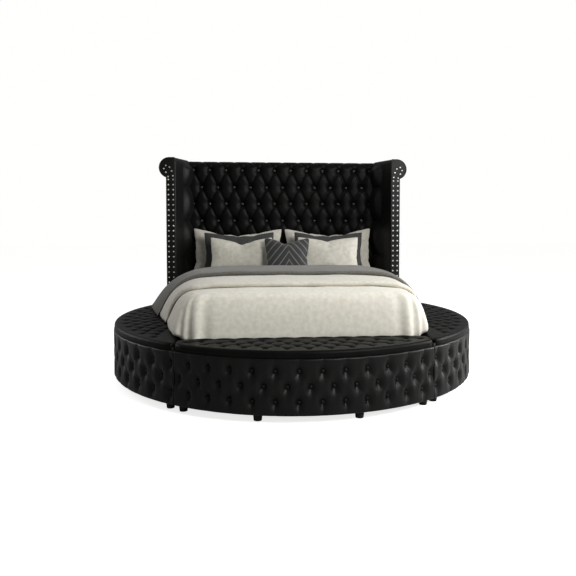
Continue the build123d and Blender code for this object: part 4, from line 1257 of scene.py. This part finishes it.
def pillow(node, sizes, material, mirrored=False):
    """A pillow in its place: a filled cloth case that leans back, with a flat foot and a dented top edge."""
    size, (middle_x, foot_y), lean, seed, draw, chop = sizes
    width, height, _ = size
    points, faces = pouch(width, height, seed)
    piece = mesh_piece(f"{node}_case", points, faces, material, None)
    points = pillow_points(piece, size, draw)
    flat = points[:, [0, 2]] / np.array((width, height))
    up = smooth_step(flat[:, 1], -0.1, 0.5)
    dent = np.exp(-np.abs(points[:, 0]) / (0.16 * width))
    points[:, 2] -= up * (chop * dent + PILLOW_SAG * np.cos(math.pi * flat[:, 0]) ** 2)
    points[:, 1] *= 1 - 0.25 * up * dent * (chop > 0)
    depth, tall = points[:, 1], points[:, 2] + height / 2
    sine, cosine = math.sin(math.radians(lean)), math.cos(math.radians(lean))
    x = (middle_x + points[:, 0]) * (-1 if mirrored else 1)
    y = foot_y + tall * sine + depth * cosine
    above = tall * cosine - depth * sine - PILLOW_REST
    half_squash = FOOT_SQUASH / 2
    pressed = half_squash * np.exp(np.clip(above - FOOT_SQUASH, -0.2, 0) / half_squash) + half_squash
    pressed = pressed - half_squash * (1 - smooth_step(above, -FOOT_SQUASH, FOOT_SQUASH))
    z = SHEET_TOP_Z + PILLOW_REST + np.where(above > FOOT_SQUASH, above, pressed)
    piece.data.vertices.foreach_set("co", np.column_stack([x, y, z]).ravel())
    layer = piece.data.uv_layers.new(name="pattern")
    corners = np.empty(len(piece.data.loops), dtype=np.int32)
    piece.data.loops.foreach_get("vertex_index", corners)
    layer.data.foreach_set("uv", (flat[corners] + 0.5).ravel())
    if mirrored:
        piece.data.flip_normals()
    piece.data.update()
    piece.modifiers.new("smooth", "SUBSURF").levels = 1
    shown = piece.evaluated_get(bpy.context.evaluated_depsgraph_get())
    piece.data = bpy.data.meshes.new_from_object(shown)
    piece.modifiers.clear()
    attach(piece, "frame")
    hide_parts(node)


# Ivory pillows: their own ivory, darkened with painted shade.
pillow("right_sham", SHAM, PILLOW_IVORY_AND_SHADE)
pillow("left_sham", SHAM, PILLOW_IVORY_AND_SHADE, mirrored=True)
pillow("right_dark_pillow", DARK_PILLOW, CHARCOAL)
pillow("left_dark_pillow", DARK_PILLOW, CHARCOAL, mirrored=True)
pillow("right_front_pillow", RIGHT_FRONT, PILLOW_IVORY_AND_SHADE)
pillow("left_front_pillow", LEFT_FRONT, PILLOW_IVORY_AND_SHADE)
pillow("throw_cushion", THROW, STRIPED)


# Finishes of the CAD nodes that stay in view, by the ends of their names
FINISHES = (
    (("_feet",), BLACK_PLASTIC),
    (("_bolts", "hinge_leaves"), STEEL),
    (("_shell", "_walls", "_floor", "_lid_board", "headboard_board"), BACK_CLOTH),
    (("side_rails", "_wing_frame"), STAINED_WOOD),
    (("",), WOOD),
)
for node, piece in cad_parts.items():
    finish = next(material for endings, material in FINISHES if node.endswith(endings))
    for place in piece.material_slots:
        place.material = finish


# Studio
def split_by_ray(output, other, seen):
    """Gives the camera one shader and all other rays another."""
    tree = output.id_data
    path = tree.nodes.new("ShaderNodeLightPath")
    pick = tree.nodes.new("ShaderNodeMixShader")
    join(path, "Is Camera Ray", pick, 0)
    join(other, 0, pick, 1)
    join(seen, 0, pick, 2)
    join(pick, 0, output, "Surface")


def white_floor():
    """A white floor that keeps the shadows."""
    material = bpy.data.materials.new("studio_white")
    material.use_nodes = True
    tree = material.node_tree
    tree.nodes.clear()
    output = tree.nodes.new("ShaderNodeOutputMaterial")
    diffuse = add_node(tree, "ShaderNodeBsdfDiffuse", Color=(0.80, 0.80, 0.79, 1))
    glow = add_node(tree, "ShaderNodeEmission", Color=(1, 1, 0.99, 1), Strength=0.77)
    both = tree.nodes.new("ShaderNodeAddShader")
    join(diffuse, 0, both, 0)
    join(glow, 0, both, 1)
    bounce = add_node(tree, "ShaderNodeBsdfDiffuse", Color=(0.45, 0.45, 0.44, 1))
    split_by_ray(output, bounce, both)
    bpy.ops.mesh.primitive_plane_add(size=60, location=(0, 0, 0))
    floor = bpy.context.object
    floor.name = "studio_floor"
    floor.data.materials.append(material)


def white_world():
    """A plain dim world with a white backdrop."""
    world = bpy.data.worlds.new("studio_world")
    bpy.context.scene.world = world
    world.use_nodes = True
    tree = world.node_tree
    tree.nodes.clear()
    output = tree.nodes.new("ShaderNodeOutputWorld")
    plain = add_node(tree, "ShaderNodeBackground", Color=(1, 1, 1, 1), Strength=0.28)
    white = add_node(tree, "ShaderNodeBackground", Color=(1, 1, 0.99, 1), Strength=1.0)
    split_by_ray(output, plain, white)


def softbox(name, place, aim, size, power):
    """A square lamp that faces a point."""
    data = bpy.data.lights.new(name, "AREA")
    data.size = size
    data.energy = power
    lamp = bpy.data.objects.new(name, data)
    bpy.context.collection.objects.link(lamp)
    lamp.location = place
    towards = Vector(np.array(aim) - np.array(place))
    lamp.rotation_euler = towards.to_track_quat("-Z", "Y").to_euler()


def photo_camera():
    """The camera of the photograph."""
    data = bpy.data.cameras.new("photo_camera")
    data.sensor_width = 36.0
    data.lens = 35.26
    data.shift_x = -0.0102
    data.shift_y = -0.0668
    camera = bpy.data.objects.new("photo_camera", data)
    bpy.context.collection.objects.link(camera)
    camera.location = (-0.3614, -4.492, 1.134)
    camera.rotation_euler = (math.radians(87.5), 0, math.radians(-4.8))
    bpy.context.scene.camera = camera


white_floor()
white_world()
softbox("front_softbox", (2.7, -3.9, 3.3), (0.0, -0.4, 0.6), 2.2, 230.0)
softbox("top_softbox", (0.3, 0.2, 4.4), (0.0, 0.0, 0.6), 3.0, 8.0)
softbox("right_softbox", (4.4, -0.4, 1.9), (0.6, -0.4, 0.4), 2.2, 195.0)
softbox("left_softbox", (-4.2, 1.2, 1.7), (-0.8, 0.0, 0.4), 2.0, 45.0)
photo_camera()
bpy.context.scene.view_settings.view_transform = "Standard"
